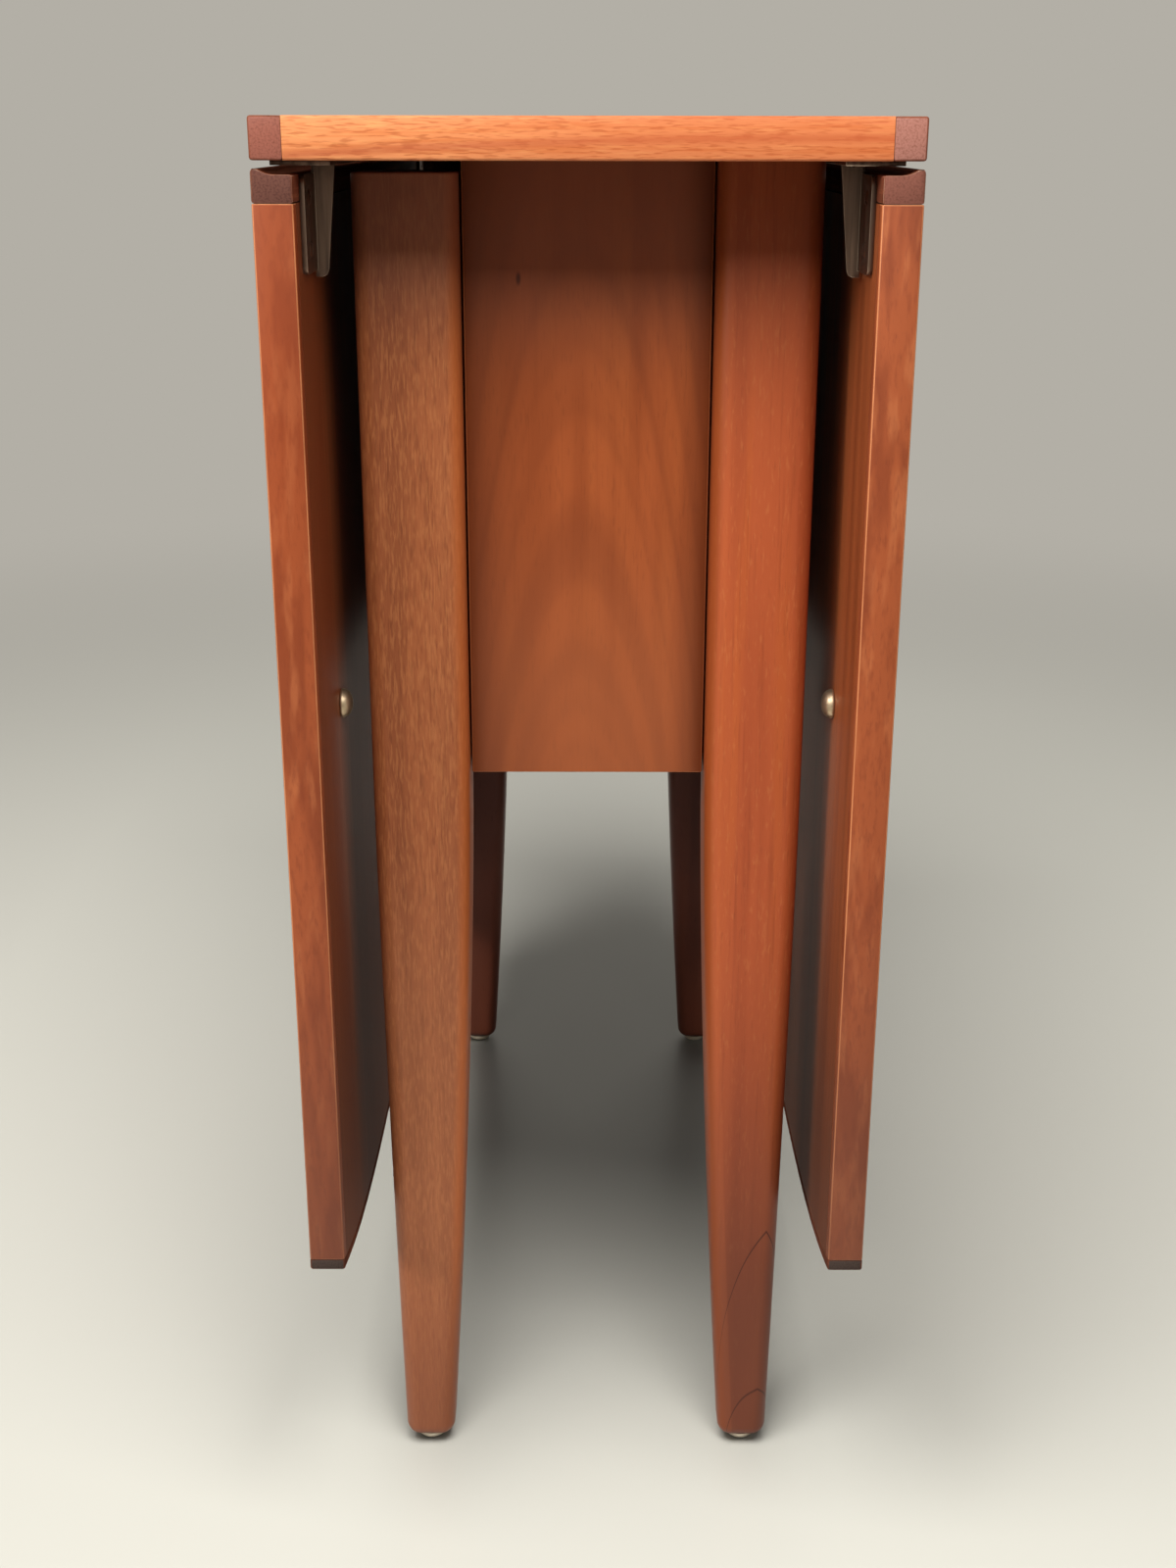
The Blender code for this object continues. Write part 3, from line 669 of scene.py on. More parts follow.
# Flat-cut veneer on the pedestal: broad soft arcs, a pin knot, fine pores
PANEL_VENEER = WoodFinish(
    name="flat_cut_veneer",
    heart="#a8552a",
    end_grain="#70402b",
    end_speck="#54301f",
    layers=(
        GrainLayer("#89401c", 26.0, 500.0, 0.42, 0.68, 0.60),
        GrainLayer("#b25e2e", 15.0, 380.0, 0.52, 0.74, 0.50),
        GrainLayer("#803d1b", 1.6, 120.0, 0.50, 0.76, 0.20),
        GrainLayer("#6f351b", 1.1, 9.0, 0.54, 0.76, 0.22, detail=1.0, relief=0.5),
    ),
    marks=(
        Cathedral("#7c3a1c", -0.004, 62.0, 70.0, 0.42),
        # Lighter towards the bottom: painted light
        Fade("#b9683c", Axis.Z, 0.56, 0.44, 0.40),
        # Greyer and darker at the top, under the top's overhang: painted shade
        Fade("#88503a", Axis.Z, 0.60, 0.71, 0.70),
        # Darker beside the gate leg: painted shade
        Fade("#632f16", Axis.X, -0.026, -0.060, 0.65),
        # Darker beside the fixed leg: painted shade
        Fade("#5f290f", Axis.X, 0.040, 0.060, 0.74),
        Knot("#3a1c12", (-0.0330, -0.2570, 0.6626), 1.6, 4.2, 0.75),
    ),
    wander_mm=9.0,
)

# Straight-cut veneer on the top and the leaves: even stripes of two tones, and fine pores
LEAF_VENEER = WoodFinish(
    name="straight_cut_veneer",
    heart="#8f4a26",
    end_grain="#6d3e2a",
    end_speck="#50301f",
    layers=(
        GrainLayer("#783b1d", 20.0, 600.0, 0.42, 0.66, 0.65),
        GrainLayer("#a0582f", 11.0, 480.0, 0.52, 0.72, 0.55),
        GrainLayer("#6c3319", 1.8, 160.0, 0.50, 0.74, 0.40),
        GrainLayer("#512716", 0.9, 12.0, 0.62, 0.78, 0.45, detail=1.0, relief=0.7),
    ),
    wander_mm=7.0,
    roughness=0.44,
    shift=(0.05, 0.42, 0.11),
)

# The two leaves' veneers differ a little, the left darker and the right lighter, partly as painted light;
# low down, their inner faces are greyed with painted shade
LEFT_LEAF_VENEER = replace(
    LEAF_VENEER,
    name="dark_leaf_veneer",
    heart="#824222",
    marks=(Fade("#3e2e27", Axis.Z, 0.44, 0.20, 0.55, toward=(1.0, 0.0, 0.0)),),
)
RIGHT_LEAF_VENEER = replace(
    LEAF_VENEER,
    name="light_leaf_veneer",
    heart="#9c522b",
    marks=(Fade("#3e2e27", Axis.Z, 0.44, 0.20, 0.68, toward=(-1.0, 0.0, 0.0)),),
    shift=(0.12, 0.20, 0.31),
)

# Pale, bright sapwood edge of the top's ends, with one redder streak along it
TOP_END_WOOD = WoodFinish(
    name="bright_edge_lipping",
    heart="#ea955e",
    end_grain="#9c5f45",
    end_speck="#7d4933",
    layers=(
        GrainLayer("#d4743b", 2.6, 60.0, 0.46, 0.70, 0.55),
        GrainLayer("#f6ab6b", 1.5, 16.0, 0.50, 0.70, 0.50),
        GrainLayer("#b0572a", 0.9, 8.0, 0.48, 0.68, 0.58, detail=1.5, relief=0.8),
    ),
    marks=(
        GrainLine("#bd5f3c", (0.105, 0.0, 0.7262), 0.0, 0.131, 0.0, 3.2, 0.60),
        Fade("#c4592c", Axis.X, -0.13, 0.06, 0.45),
    ),
    wander_mm=1.6,
    wander_across_mm=14.0,
    wander_along_mm=90.0,
    roughness=0.40,
)

# Dense purplish-brown lipping, whose saw-cut ends are paler than its long faces: partly the wood, partly
# painted light where the top's edge catches more light
TOP_SIDE_WOOD = WoodFinish(
    name="dark_edge_lipping",
    heart="#864a33",
    end_grain="#9a5c4b",
    end_speck="#7d4839",
    layers=(
        GrainLayer("#6f3a28", 7.0, 300.0, 0.44, 0.68, 0.60),
        GrainLayer("#9a5a3e", 3.0, 160.0, 0.54, 0.74, 0.45),
        PORES,
    ),
    shift=(0.2, 0.0, 0.3),
)
# The right side's lipping, whose ends are paler still: a painted sheen
PALE_TOP_SIDE_WOOD = replace(
    TOP_SIDE_WOOD, name="scuffed_edge_lipping", end_grain="#b27868", end_speck="#8f5949"
)
# The leaves' lippings are dry along the joint, so they don't mirror the light behind the table
LEAF_EDGE_WOOD = replace(
    TOP_SIDE_WOOD,
    name="dark_leaf_lipping",
    heart="#74402c",
    end_grain="#6e483d",
    end_speck="#55352d",
    roughness=0.62,
    specular=0.02,
)
# The right leaf's lipping is warmer on its ends
WARM_LEAF_EDGE_WOOD = replace(
    LEAF_EDGE_WOOD, name="warm_leaf_lipping", end_grain="#865446", end_speck="#6b4236"
)
# The lipping along a leaf's bowed edge, darkened nearly black: painted shade, where it hangs lowest
LEAF_FOOT_WOOD = replace(
    LEAF_EDGE_WOOD, name="smoked_leaf_lipping", heart="#5e382a", end_grain="#4a3d36", end_speck="#3a2f29"
)

# Red-brown upright lipping on the ends of the leaves
LEAF_END_WOOD = WoodFinish(
    name="red_leaf_lipping",
    heart="#9e502c",
    end_grain="#6d3f2e",
    end_speck="#502c20",
    layers=(
        GrainLayer("#77351c", 11.0, 70.0, 0.44, 0.64, 0.62),
        GrainLayer("#b96b40", 7.0, 36.0, 0.50, 0.70, 0.48),
        GrainLayer("#7c3920", 2.2, 9.0, 0.48, 0.70, 0.40),
        GrainLayer("#6d3420", 0.8, 5.0, 0.60, 0.80, 0.30, detail=1.0, relief=0.8),
    ),
    # Darker towards the bottom: painted shade
    marks=(Fade("#6a402f", Axis.Z, 0.42, 0.18, 0.55),),
    wander_mm=3.0,
    wander_across_mm=20.0,
    wander_along_mm=110.0,
    shift=(0.11, 0.07, 0.23),
)

# The left leaf's lipping is redder near its top
LEFT_LEAF_END_WOOD = replace(
    LEAF_END_WOOD,
    name="deep_red_leaf_lipping",
    marks=(*LEAF_END_WOOD.marks, Fade("#8a3814", Axis.Z, 0.44, 0.62, 0.45)),
)

# The lippings' and the panel's edges, which hands have rubbed pale
RUBBED_LEAF_END = replace(
    LEAF_END_WOOD,
    name="rubbed_red_lipping",
    heart="#cf8355",
    layers=(GrainLayer("#a8623c", 3.0, 40.0, 0.45, 0.70, 0.50),),
)
RUBBED_LEAF_EDGE = replace(
    LEAF_EDGE_WOOD, name="rubbed_dark_lipping", heart="#9a7460", end_grain="#a08270", end_speck="#806050"
)
RUBBED_PANEL = replace(
    PANEL_VENEER,
    name="rubbed_panel_edge",
    heart="#bd7447",
    layers=(GrainLayer("#9a5632", 3.0, 60.0, 0.45, 0.70, 0.50),),
    marks=(),
)

# Stained beech of the hidden frame: even, with short darker rays
FRAME_BEECH = WoodFinish(
    name="stained_beech",
    heart="#70452d",
    end_grain="#533322",
    end_speck="#402618",
    layers=(
        GrainLayer("#5c3723", 12.0, 300.0, 0.44, 0.70, 0.55),
        GrainLayer("#4c2c1b", 0.9, 4.0, 0.60, 0.76, 0.50, detail=1.0, relief=0.6),
    ),
    roughness=0.55,
)

# The strip that shows beside a fixed leg, darkened red: painted shade of the narrow gap there
PACKING_BEECH = replace(
    FRAME_BEECH,
    name="red_stained_beech",
    heart="#6b321b",
    layers=(GrainLayer("#542513", 12.0, 300.0, 0.44, 0.70, 0.55),),
)

# Pressed steel, bronzed and lacquered: dark, half matt, drawn in upright streaks
BRONZED_STEEL = MetalFinish(
    name="bronzed_steel",
    colour="#705a4b",
    patina="#392c25",
    patina_mm=(2.6, 60.0),
    patina_share=0.8,
    metallic=0.85,
    roughness=0.40,
    roughness_spread=0.08,
)
# The same steel on its edges, where the lacquer has rubbed off
RUBBED_STEEL = replace(
    BRONZED_STEEL, name="rubbed_steel", colour="#b8a692", patina="#927d69", metallic=0.9, roughness=0.34
)
# Turned brass, dulled to a greyish beige
SATIN_BRASS = MetalFinish(
    name="satin_brass",
    colour="#c0aa8b",
    patina="#8e785e",
    patina_mm=(4.0, 4.0),
    patina_share=0.6,
    metallic=0.9,
    roughness=0.44,
    roughness_spread=0.08,
)
# Nickelled glides, pale and half matt
PALE_NICKEL = MetalFinish(
    name="pale_nickel",
    colour="#e2d2b6",
    patina="#b9a68a",
    patina_mm=(3.0, 3.0),
    patina_share=0.5,
    metallic=0.35,
    roughness=0.36,
    roughness_spread=0.06,
)
# Plain zinc-plated screws, dulled
DULL_ZINC = MetalFinish(
    name="dull_zinc",
    colour="#a39d92",
    patina="#6e675c",
    patina_mm=(3.0, 3.0),
    patina_share=0.6,
    metallic=1.0,
    roughness=0.42,
    roughness_spread=0.1,
)


class Worded(Enum):
    """A choice whose name, in small letters, is a word in the nodes' names."""

    @property
    def word(self) -> str:
        """The word in a node's name."""
        return self.name.lower()


class Side(Worded):
    """The leaf side of the table, with its sign along X."""

    LEFT = -1
    RIGHT = 1

    def inner(self, box: Box) -> float:
        """The X of a box's face toward the table's middle."""
        return box[0].x if self is Side.RIGHT else box[1].x

    def outer(self, box: Box) -> float:
        """The X of a box's face away from the table's middle."""
        return box[1].x if self is Side.RIGHT else box[0].x


class End(Worded):
    """The end of the table, with its sign along Y."""

    NEAR = -1
    FAR = 1


@dataclass(frozen=True)
class Screw:
    """A slotted countersunk wood screw's head, as it shows on a plate."""

    head_mm: float = 7.4
    slot_mm: float = 1.1
    rise_mm: float = 0.7
    rim_mm: float = 0.25
    crown: float = 0.72
    segments: int = 24

    def add_to(self, shape: BMesh, seat: Vector, outward: Vector, turn: float) -> None:
        """Adds one head to a bmesh.

        Args:
            shape: The bmesh that takes the head.
            seat: The middle of the head, on the face that it is driven into.
            outward: The face's outward direction.
            turn: How far the slot is turned, in radians.
        """
        head = bmesh.new()
        radius, half_slot = self.head_mm * MILLIMETRE / 2, self.slot_mm * MILLIMETRE / 2
        bmesh.ops.create_circle(head, cap_ends=True, segments=self.segments, radius=radius)
        for edge_of_slot in (-half_slot, half_slot):
            whole = head.verts[:] + head.edges[:] + head.faces[:]
            bmesh.ops.bisect_plane(head, geom=whole, plane_co=(edge_of_slot, 0, 0), plane_no=(1, 0, 0))
        halves = [face for face in head.faces if abs(face.calc_center_median().x) > half_slot]
        raised = bmesh.ops.extrude_face_region(head, geom=halves)
        crown = [part for part in raised["geom"] if isinstance(part, BMVert)]
        bmesh.ops.delete(head, geom=halves, context="FACES_ONLY")
        for vertex in crown:
            on_slot = abs(abs(vertex.co.x) - half_slot) < SAME_PLACE
            vertex.co.y *= self.crown
            vertex.co.x *= 1.0 if on_slot else self.crown
            vertex.co.z += self.rise_mm * MILLIMETRE
        rim = [edge for edge in head.edges if edge.is_boundary]
        skirt = bmesh.ops.extrude_edge_only(head, edges=rim)
        lowered = [part for part in skirt["geom"] if isinstance(part, BMVert)]
        bmesh.ops.translate(head, verts=lowered, vec=(0, 0, -self.rim_mm * MILLIMETRE))
        bmesh.ops.holes_fill(head, edges=[edge for edge in head.edges if edge.is_boundary])
        bmesh.ops.recalc_face_normals(head, faces=head.faces)
        upright = Vector((0, 0, 1)).rotation_difference(outward).to_matrix()
        for matrix in (Matrix.Rotation(turn, 3, "Z"), upright):
            bmesh.ops.rotate(head, verts=head.verts, cent=(0, 0, 0), matrix=matrix)
        bmesh.ops.translate(head, verts=head.verts, vec=seat)
        loose = bpy.data.meshes.new("screw_head")
        head.to_mesh(loose)
        head.free()
        shape.from_mesh(loose)
        bpy.data.meshes.remove(loose)


def dome(start: Pair, reach: float, rise: float, steps: int) -> list[Pair]:
    """Draws the curve of a dome, from just above its foot to its crown.

    Args:
        start: The radius at the crown and the height at the foot.
        reach: How much wider the foot is than the crown.
        rise: The dome's height.
        steps: How many steps it has.

    Returns:
        Radius and height pairs.
    """
    turns = [QUARTER_TURN * step / steps for step in range(1, steps + 1)]
    return [(start[0] + reach * cos(turn), start[1] + rise * sin(turn)) for turn in turns]


def turned(profile: list[Pair], seat: Vector, axis: Vector, steps: int) -> BMesh:
    """Spins a profile round an axis.

    Args:
        profile: Radius and height pairs, from the axis at the seat out and back to the axis.
        seat: Where the axis starts.
        axis: The way it points.
        steps: How many steps make a full turn.

    Returns:
        A closed bmesh.
    """
    shape = bmesh.new()
    across = axis.orthogonal().normalized()
    points = [shape.verts.new(seat + across * radius + axis * height) for radius, height in profile]
    line = points + [shape.edges.new(pair) for pair in zip(points, points[1:])]
    bmesh.ops.spin(shape, geom=line, cent=seat, axis=axis, angle=2 * pi, steps=steps, use_merge=True)
    bmesh.ops.remove_doubles(shape, verts=shape.verts, dist=POLE_GAP)
    bmesh.ops.recalc_face_normals(shape, faces=shape.faces)
    return shape


@dataclass
class Workshop:
    """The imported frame, the materials in use, and the ways to finish a piece."""

    frame: dict[str, Any]
    smooth_angle: float = radians(40)
    sharp_angle: float = radians(35)
    flat_angle: float = radians(0.05)
    ease_steps: int = 2
    screw: Screw = Screw()
    screw_slot: str = "bronzed_steel"
    materials: dict[tuple[str, str], Material] = field(default_factory=dict)

    def wood(self, finish: WoodFinish, grain: Grain) -> Material:
        """Finds a wood's material for one way of the fibres, and makes it the first time.

        Args:
            finish: The wood.
            grain: The fibres' direction on the object.

        Returns:
            The material.
        """
        key = (finish.name, grain.name)
        if key not in self.materials:
            self.materials[key] = finish.material(grain)
        return self.materials[key]

    def metal(self, finish: MetalFinish) -> Material:
        """Finds a metal's material, and makes it the first time.

        Args:
            finish: The metal.

        Returns:
            The material.
        """
        key = (finish.name, "")
        if key not in self.materials:
            self.materials[key] = finish.material()
        return self.materials[key]

    def dress(self, node: str, material: Material) -> None:
        """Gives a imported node, whose shape is right, its material.

        Args:
            node: The node's name.
            material: What it is made of.
        """
        slots = self.frame["nodes"][node].data.materials
        slots.clear()
        slots.append(material)
        LOG.info("%s keeps its shape, in %s", node, material.name)

    def refine(
        self, node: str, material: Material, ease_mm: float = 0.0, worn: Material | None = None
    ) -> None:
        """Stands a smooth copy of a node's mesh in its place, with its sharp edges eased.

        Args:
            node: The node's name.
            material: What the piece is made of.
            ease_mm: How far the sharp edges are rounded, or zero to leave them.
            worn: What the rounded edges look like, where it differs.
        """
        shape = bmesh.new()
        shape.from_mesh(self.frame["nodes"][node].data)
        bmesh.ops.remove_doubles(shape, verts=shape.verts, dist=SAME_PLACE)
        bmesh.ops.dissolve_limit(shape, angle_limit=self.flat_angle, verts=shape.verts, edges=shape.edges)
        if ease_mm:
            sharp = [edge for edge in shape.edges if edge.calc_face_angle(0.0) > self.sharp_angle]
            eased = bmesh.ops.bevel(
                shape,
                geom=sharp,
                offset=ease_mm * MILLIMETRE,
                offset_type="OFFSET",
                affect="EDGES",
                segments=self.ease_steps,
                profile=0.5,
                material=-1,
                clamp_overlap=True,
            )
            for face in eased["faces"]:
                face.material_index = 1 if worn else 0
        made = self.stand_in(node, shape, material)
        if worn:
            made.data.materials.append(worn)

    def stand_in(self, node: str, shape: BMesh, material: Material) -> Object:
        """Makes a piece that stands in a node's place.

        Args:
            node: The node's name.
            shape: The piece's shape, which is freed.
            material: What it is made of.

        Returns:
            The new piece.
        """
        body = self.frame["nodes"][node]["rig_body"]
        subparts = self.frame["record"]["subparts"]
        slot = next(part["material_slot"] for part in subparts if part["node"] == node)
        made = self.finish(f"{node}_finished", shape, material, body, slot)
        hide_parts(node)
        return made

    def drive(
        self, name: str, seats: list[Vector], outward: Vector, finish: MetalFinish, body: str
    ) -> None:
        """Drives a row of screws, each turned a little further than the last.

        Args:
            name: The name of the piece that holds the heads.
            seats: The middles of the heads.
            outward: The direction that the heads face.
            finish: The screws' metal.
            body: The body that carries them.
        """
        shape = bmesh.new()
        for number, seat in enumerate(seats, 1):
            self.screw.add_to(shape, seat, outward, GOLDEN_TURN * number)
        self.finish(name, shape, self.metal(finish), body, self.screw_slot)

    def finish(self, name: str, shape: BMesh, material: Material, body: str, slot: str) -> Object:
        """Makes a piece from a bmesh in the table's frame, and lets it ride on a body.

        Args:
            name: The piece's name.
            shape: Its shape, which is freed.
            material: What it is made of.
            body: The body that carries it.
            slot: The record's material slot; not used.

        Returns:
            The new piece.
        """
        mesh = bpy.data.meshes.new(name)
        shape.to_mesh(mesh)
        shape.free()
        mesh.shade_smooth()
        mesh.set_sharp_from_angle(angle=self.smooth_angle)
        mesh.materials.append(material)
        made = bpy.data.objects.new(name, mesh)
        bpy.context.scene.collection.objects.link(made)
        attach(made, body)
        LOG.info("%s rides on %s, in %s", name, body, material.name)
        return made


@dataclass
class Top:
    """The fixed top: a veneered board between two end lippings and two side lippings."""

    shop: Workshop

    def build(self) -> None:
        """Dresses the board and its lippings."""
        self.shop.dress("top_core", self.shop.wood(LEAF_VENEER, Grain.ALONG_X))
        for end in End:
            self.shop.refine(f"top_end_lipping_{end.word}", self.shop.wood(TOP_END_WOOD, Grain.ALONG_X))
        for side, finish in ((Side.LEFT, TOP_SIDE_WOOD), (Side.RIGHT, PALE_TOP_SIDE_WOOD)):
            self.shop.refine(f"top_side_lipping_{side.word}", self.shop.wood(finish, Grain.ALONG_Y))


@dataclass
class Leaf:
    """One hanging leaf: a veneered board with lippings, and the domed studs that meet the legs.

    A stud's rim is a share of its height. The seat, the bead and the dome are shares of its radius or rim.
    """

    shop: Workshop
    side: Side
    ease_mm: float = 0.4
    dome_steps: int = 10
    round_steps: int = 48
    rim_share: float = 0.22
    seat_share: float = 0.96
    bead_share: float = 0.3
    dome_share: float = 0.97

    def build(self) -> None:
        """Dresses the board, its lippings and its studs."""
        word = self.side.word
        left = self.side is Side.LEFT
        board = LEFT_LEAF_VENEER if left else RIGHT_LEAF_VENEER
        self.shop.dress(f"leaf_core_{word}", self.shop.wood(board, Grain.ALONG_Z))
        hinge_wood = LEAF_EDGE_WOOD if left else WARM_LEAF_EDGE_WOOD
        end_wood = LEFT_LEAF_END_WOOD if left else LEAF_END_WOOD
        self._lip(f"leaf_hinge_lipping_{word}", hinge_wood, RUBBED_LEAF_EDGE, Grain.ALONG_Y)
        self._lip(f"leaf_outer_lipping_{word}", LEAF_FOOT_WOOD, LEAF_FOOT_WOOD, Grain.ALONG_Y)
        for end in End:
            self._lip(f"leaf_end_lipping_{end.word}_{word}", end_wood, RUBBED_LEAF_END, Grain.ALONG_Z)
            self._stud(f"bumper_stud_{end.word}_{word}")

    def _lip(self, node: str, finish: WoodFinish, rubbed: WoodFinish, grain: Grain) -> None:
        """Dresses a lipping in its wood, and its eased edges in the same wood rubbed by hands."""
        wood, worn = self.shop.wood(finish, grain), self.shop.wood(rubbed, grain)
        self.shop.refine(node, wood, self.ease_mm, worn)

    def _stud(self, node: str) -> None:
        """Turns a finer stud in a node's place: a short rim under a round head.

        Args:
            node: The stud's node.
        """
        low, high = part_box(node)
        seat = (low + high) / 2
        seat.x = self.side.outer((low, high))
        radius, height = (high.z - low.z) / 2, high.x - low.x
        rim = height * self.rim_share
        profile = [(0.0, 0.0), (radius * self.seat_share, 0.0)]
        profile += [(radius, rim * self.bead_share), (radius, rim)]
        profile += dome((0.0, rim), radius * self.dome_share, height - rim, self.dome_steps)
        shape = turned(profile, seat, Vector((-self.side.value, 0, 0)), self.round_steps)
        self.shop.stand_in(node, shape, self.shop.metal(SATIN_BRASS))


@dataclass
class LeafHinge:
    """One concealed hinge: a plate under the top, a pin, and a bracket screwed to the leaf."""

    shop: Workshop
    end: End
    side: Side
    ease_mm: float = 0.55
    screw_from_end_mm: float = 13.0
    screw_from_plate_edge_mm: float = 7.0
    screw_from_flange_edge_mm: float = 10.0
    flange_below_lip_mm: float = 2.5
    flange_height_mm: float = 42.0
    flange_thickness_mm: float = 2.4

    def build(self) -> None:
        """Dresses the steel and drives the screws."""
        name = f"{self.end.word}_{self.side.word}"
        steel, rubbed = self.shop.metal(BRONZED_STEEL), self.shop.metal(RUBBED_STEEL)
        self.shop.refine(f"hinge_plate_{name}", steel, self.ease_mm, rubbed)
        self.shop.refine(f"leaf_bracket_{name}", steel, self.ease_mm, rubbed)
        self.shop.refine(f"hinge_pin_{name}", steel)
        self._plate_screws(name)
        self._bracket_screws(name)

    def _rows(self, node: str) -> list[float]:
        """Places the two rows of screws from a plate's ends.

        Args:
            node: The plate's or the bracket's node.

        Returns:
            The rows' places along Y.
        """
        low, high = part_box(node)
        inset = self.screw_from_end_mm * MILLIMETRE
        return [low.y + inset, high.y - inset]

    def _plate_screws(self, name: str) -> None:
        """Drives the screws that hold the plate to the top.

        Args:
            name: The hinge's words in the nodes' names.
        """
        node = f"hinge_plate_{name}"
        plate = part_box(node)
        across = self.side.inner(plate) + self.side.value * self.screw_from_plate_edge_mm * MILLIMETRE
        seats = [Vector((across, row, plate[0].z)) for row in self._rows(node)]
        self.shop.drive(f"plate_screws_{name}", seats, DOWN, BRONZED_STEEL, "table")

    def _bracket_screws(self, name: str) -> None:
        """Drives the screws that hold the bracket to the leaf.

        Args:
            name: The hinge's words in the nodes' names.
        """
        word, sign = self.side.word, self.side.value
        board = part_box(f"leaf_core_{word}")
        face = self.side.inner(board) - sign * self.flange_thickness_mm * MILLIMETRE
        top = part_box(f"leaf_hinge_lipping_{word}")[1].z - self.flange_below_lip_mm * MILLIMETRE
        inset = self.screw_from_flange_edge_mm * MILLIMETRE
        levels = (top - inset, top - self.flange_height_mm * MILLIMETRE + inset)
        rows = self._rows(f"leaf_bracket_{name}")
        seats = [Vector((face, row, level)) for row in rows for level in levels]
        inward = Vector((-sign, 0, 0))
        self.shop.drive(f"bracket_screws_{name}", seats, inward, BRONZED_STEEL, f"leaf_{word}")


@dataclass
class Pedestal:
    """The box of panels under the top, with the cleats that hold it there."""

    shop: Workshop
    ease_mm: float = 0.4
    cleat_screws: int = 3

    def build(self) -> None:
        """Dresses the panels and the cleats, and drives the cleats' screws."""
        panel = self.shop.wood(PANEL_VENEER, Grain.ALONG_Z)
        rubbed = self.shop.wood(RUBBED_PANEL, Grain.ALONG_Z)
        for end in End:
            self.shop.refine(f"end_panel_{end.word}", panel, self.ease_mm, rubbed)
        for side in Side:
            self.shop.refine(f"side_panel_{side.word}", panel, self.ease_mm, rubbed)
            node = f"top_cleat_{side.word}"
            self.shop.refine(node, self.shop.wood(FRAME_BEECH, Grain.ALONG_Y), self.ease_mm)
            low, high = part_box(node)
            middle = (low.x + high.x) / 2
            step = (high.y - low.y) / self.cleat_screws
            seats = [Vector((middle, low.y + step * (n + 0.5), low.z)) for n in range(self.cleat_screws)]
            self.shop.drive(f"cleat_screws_{side.word}", seats, DOWN, DULL_ZINC, "table")


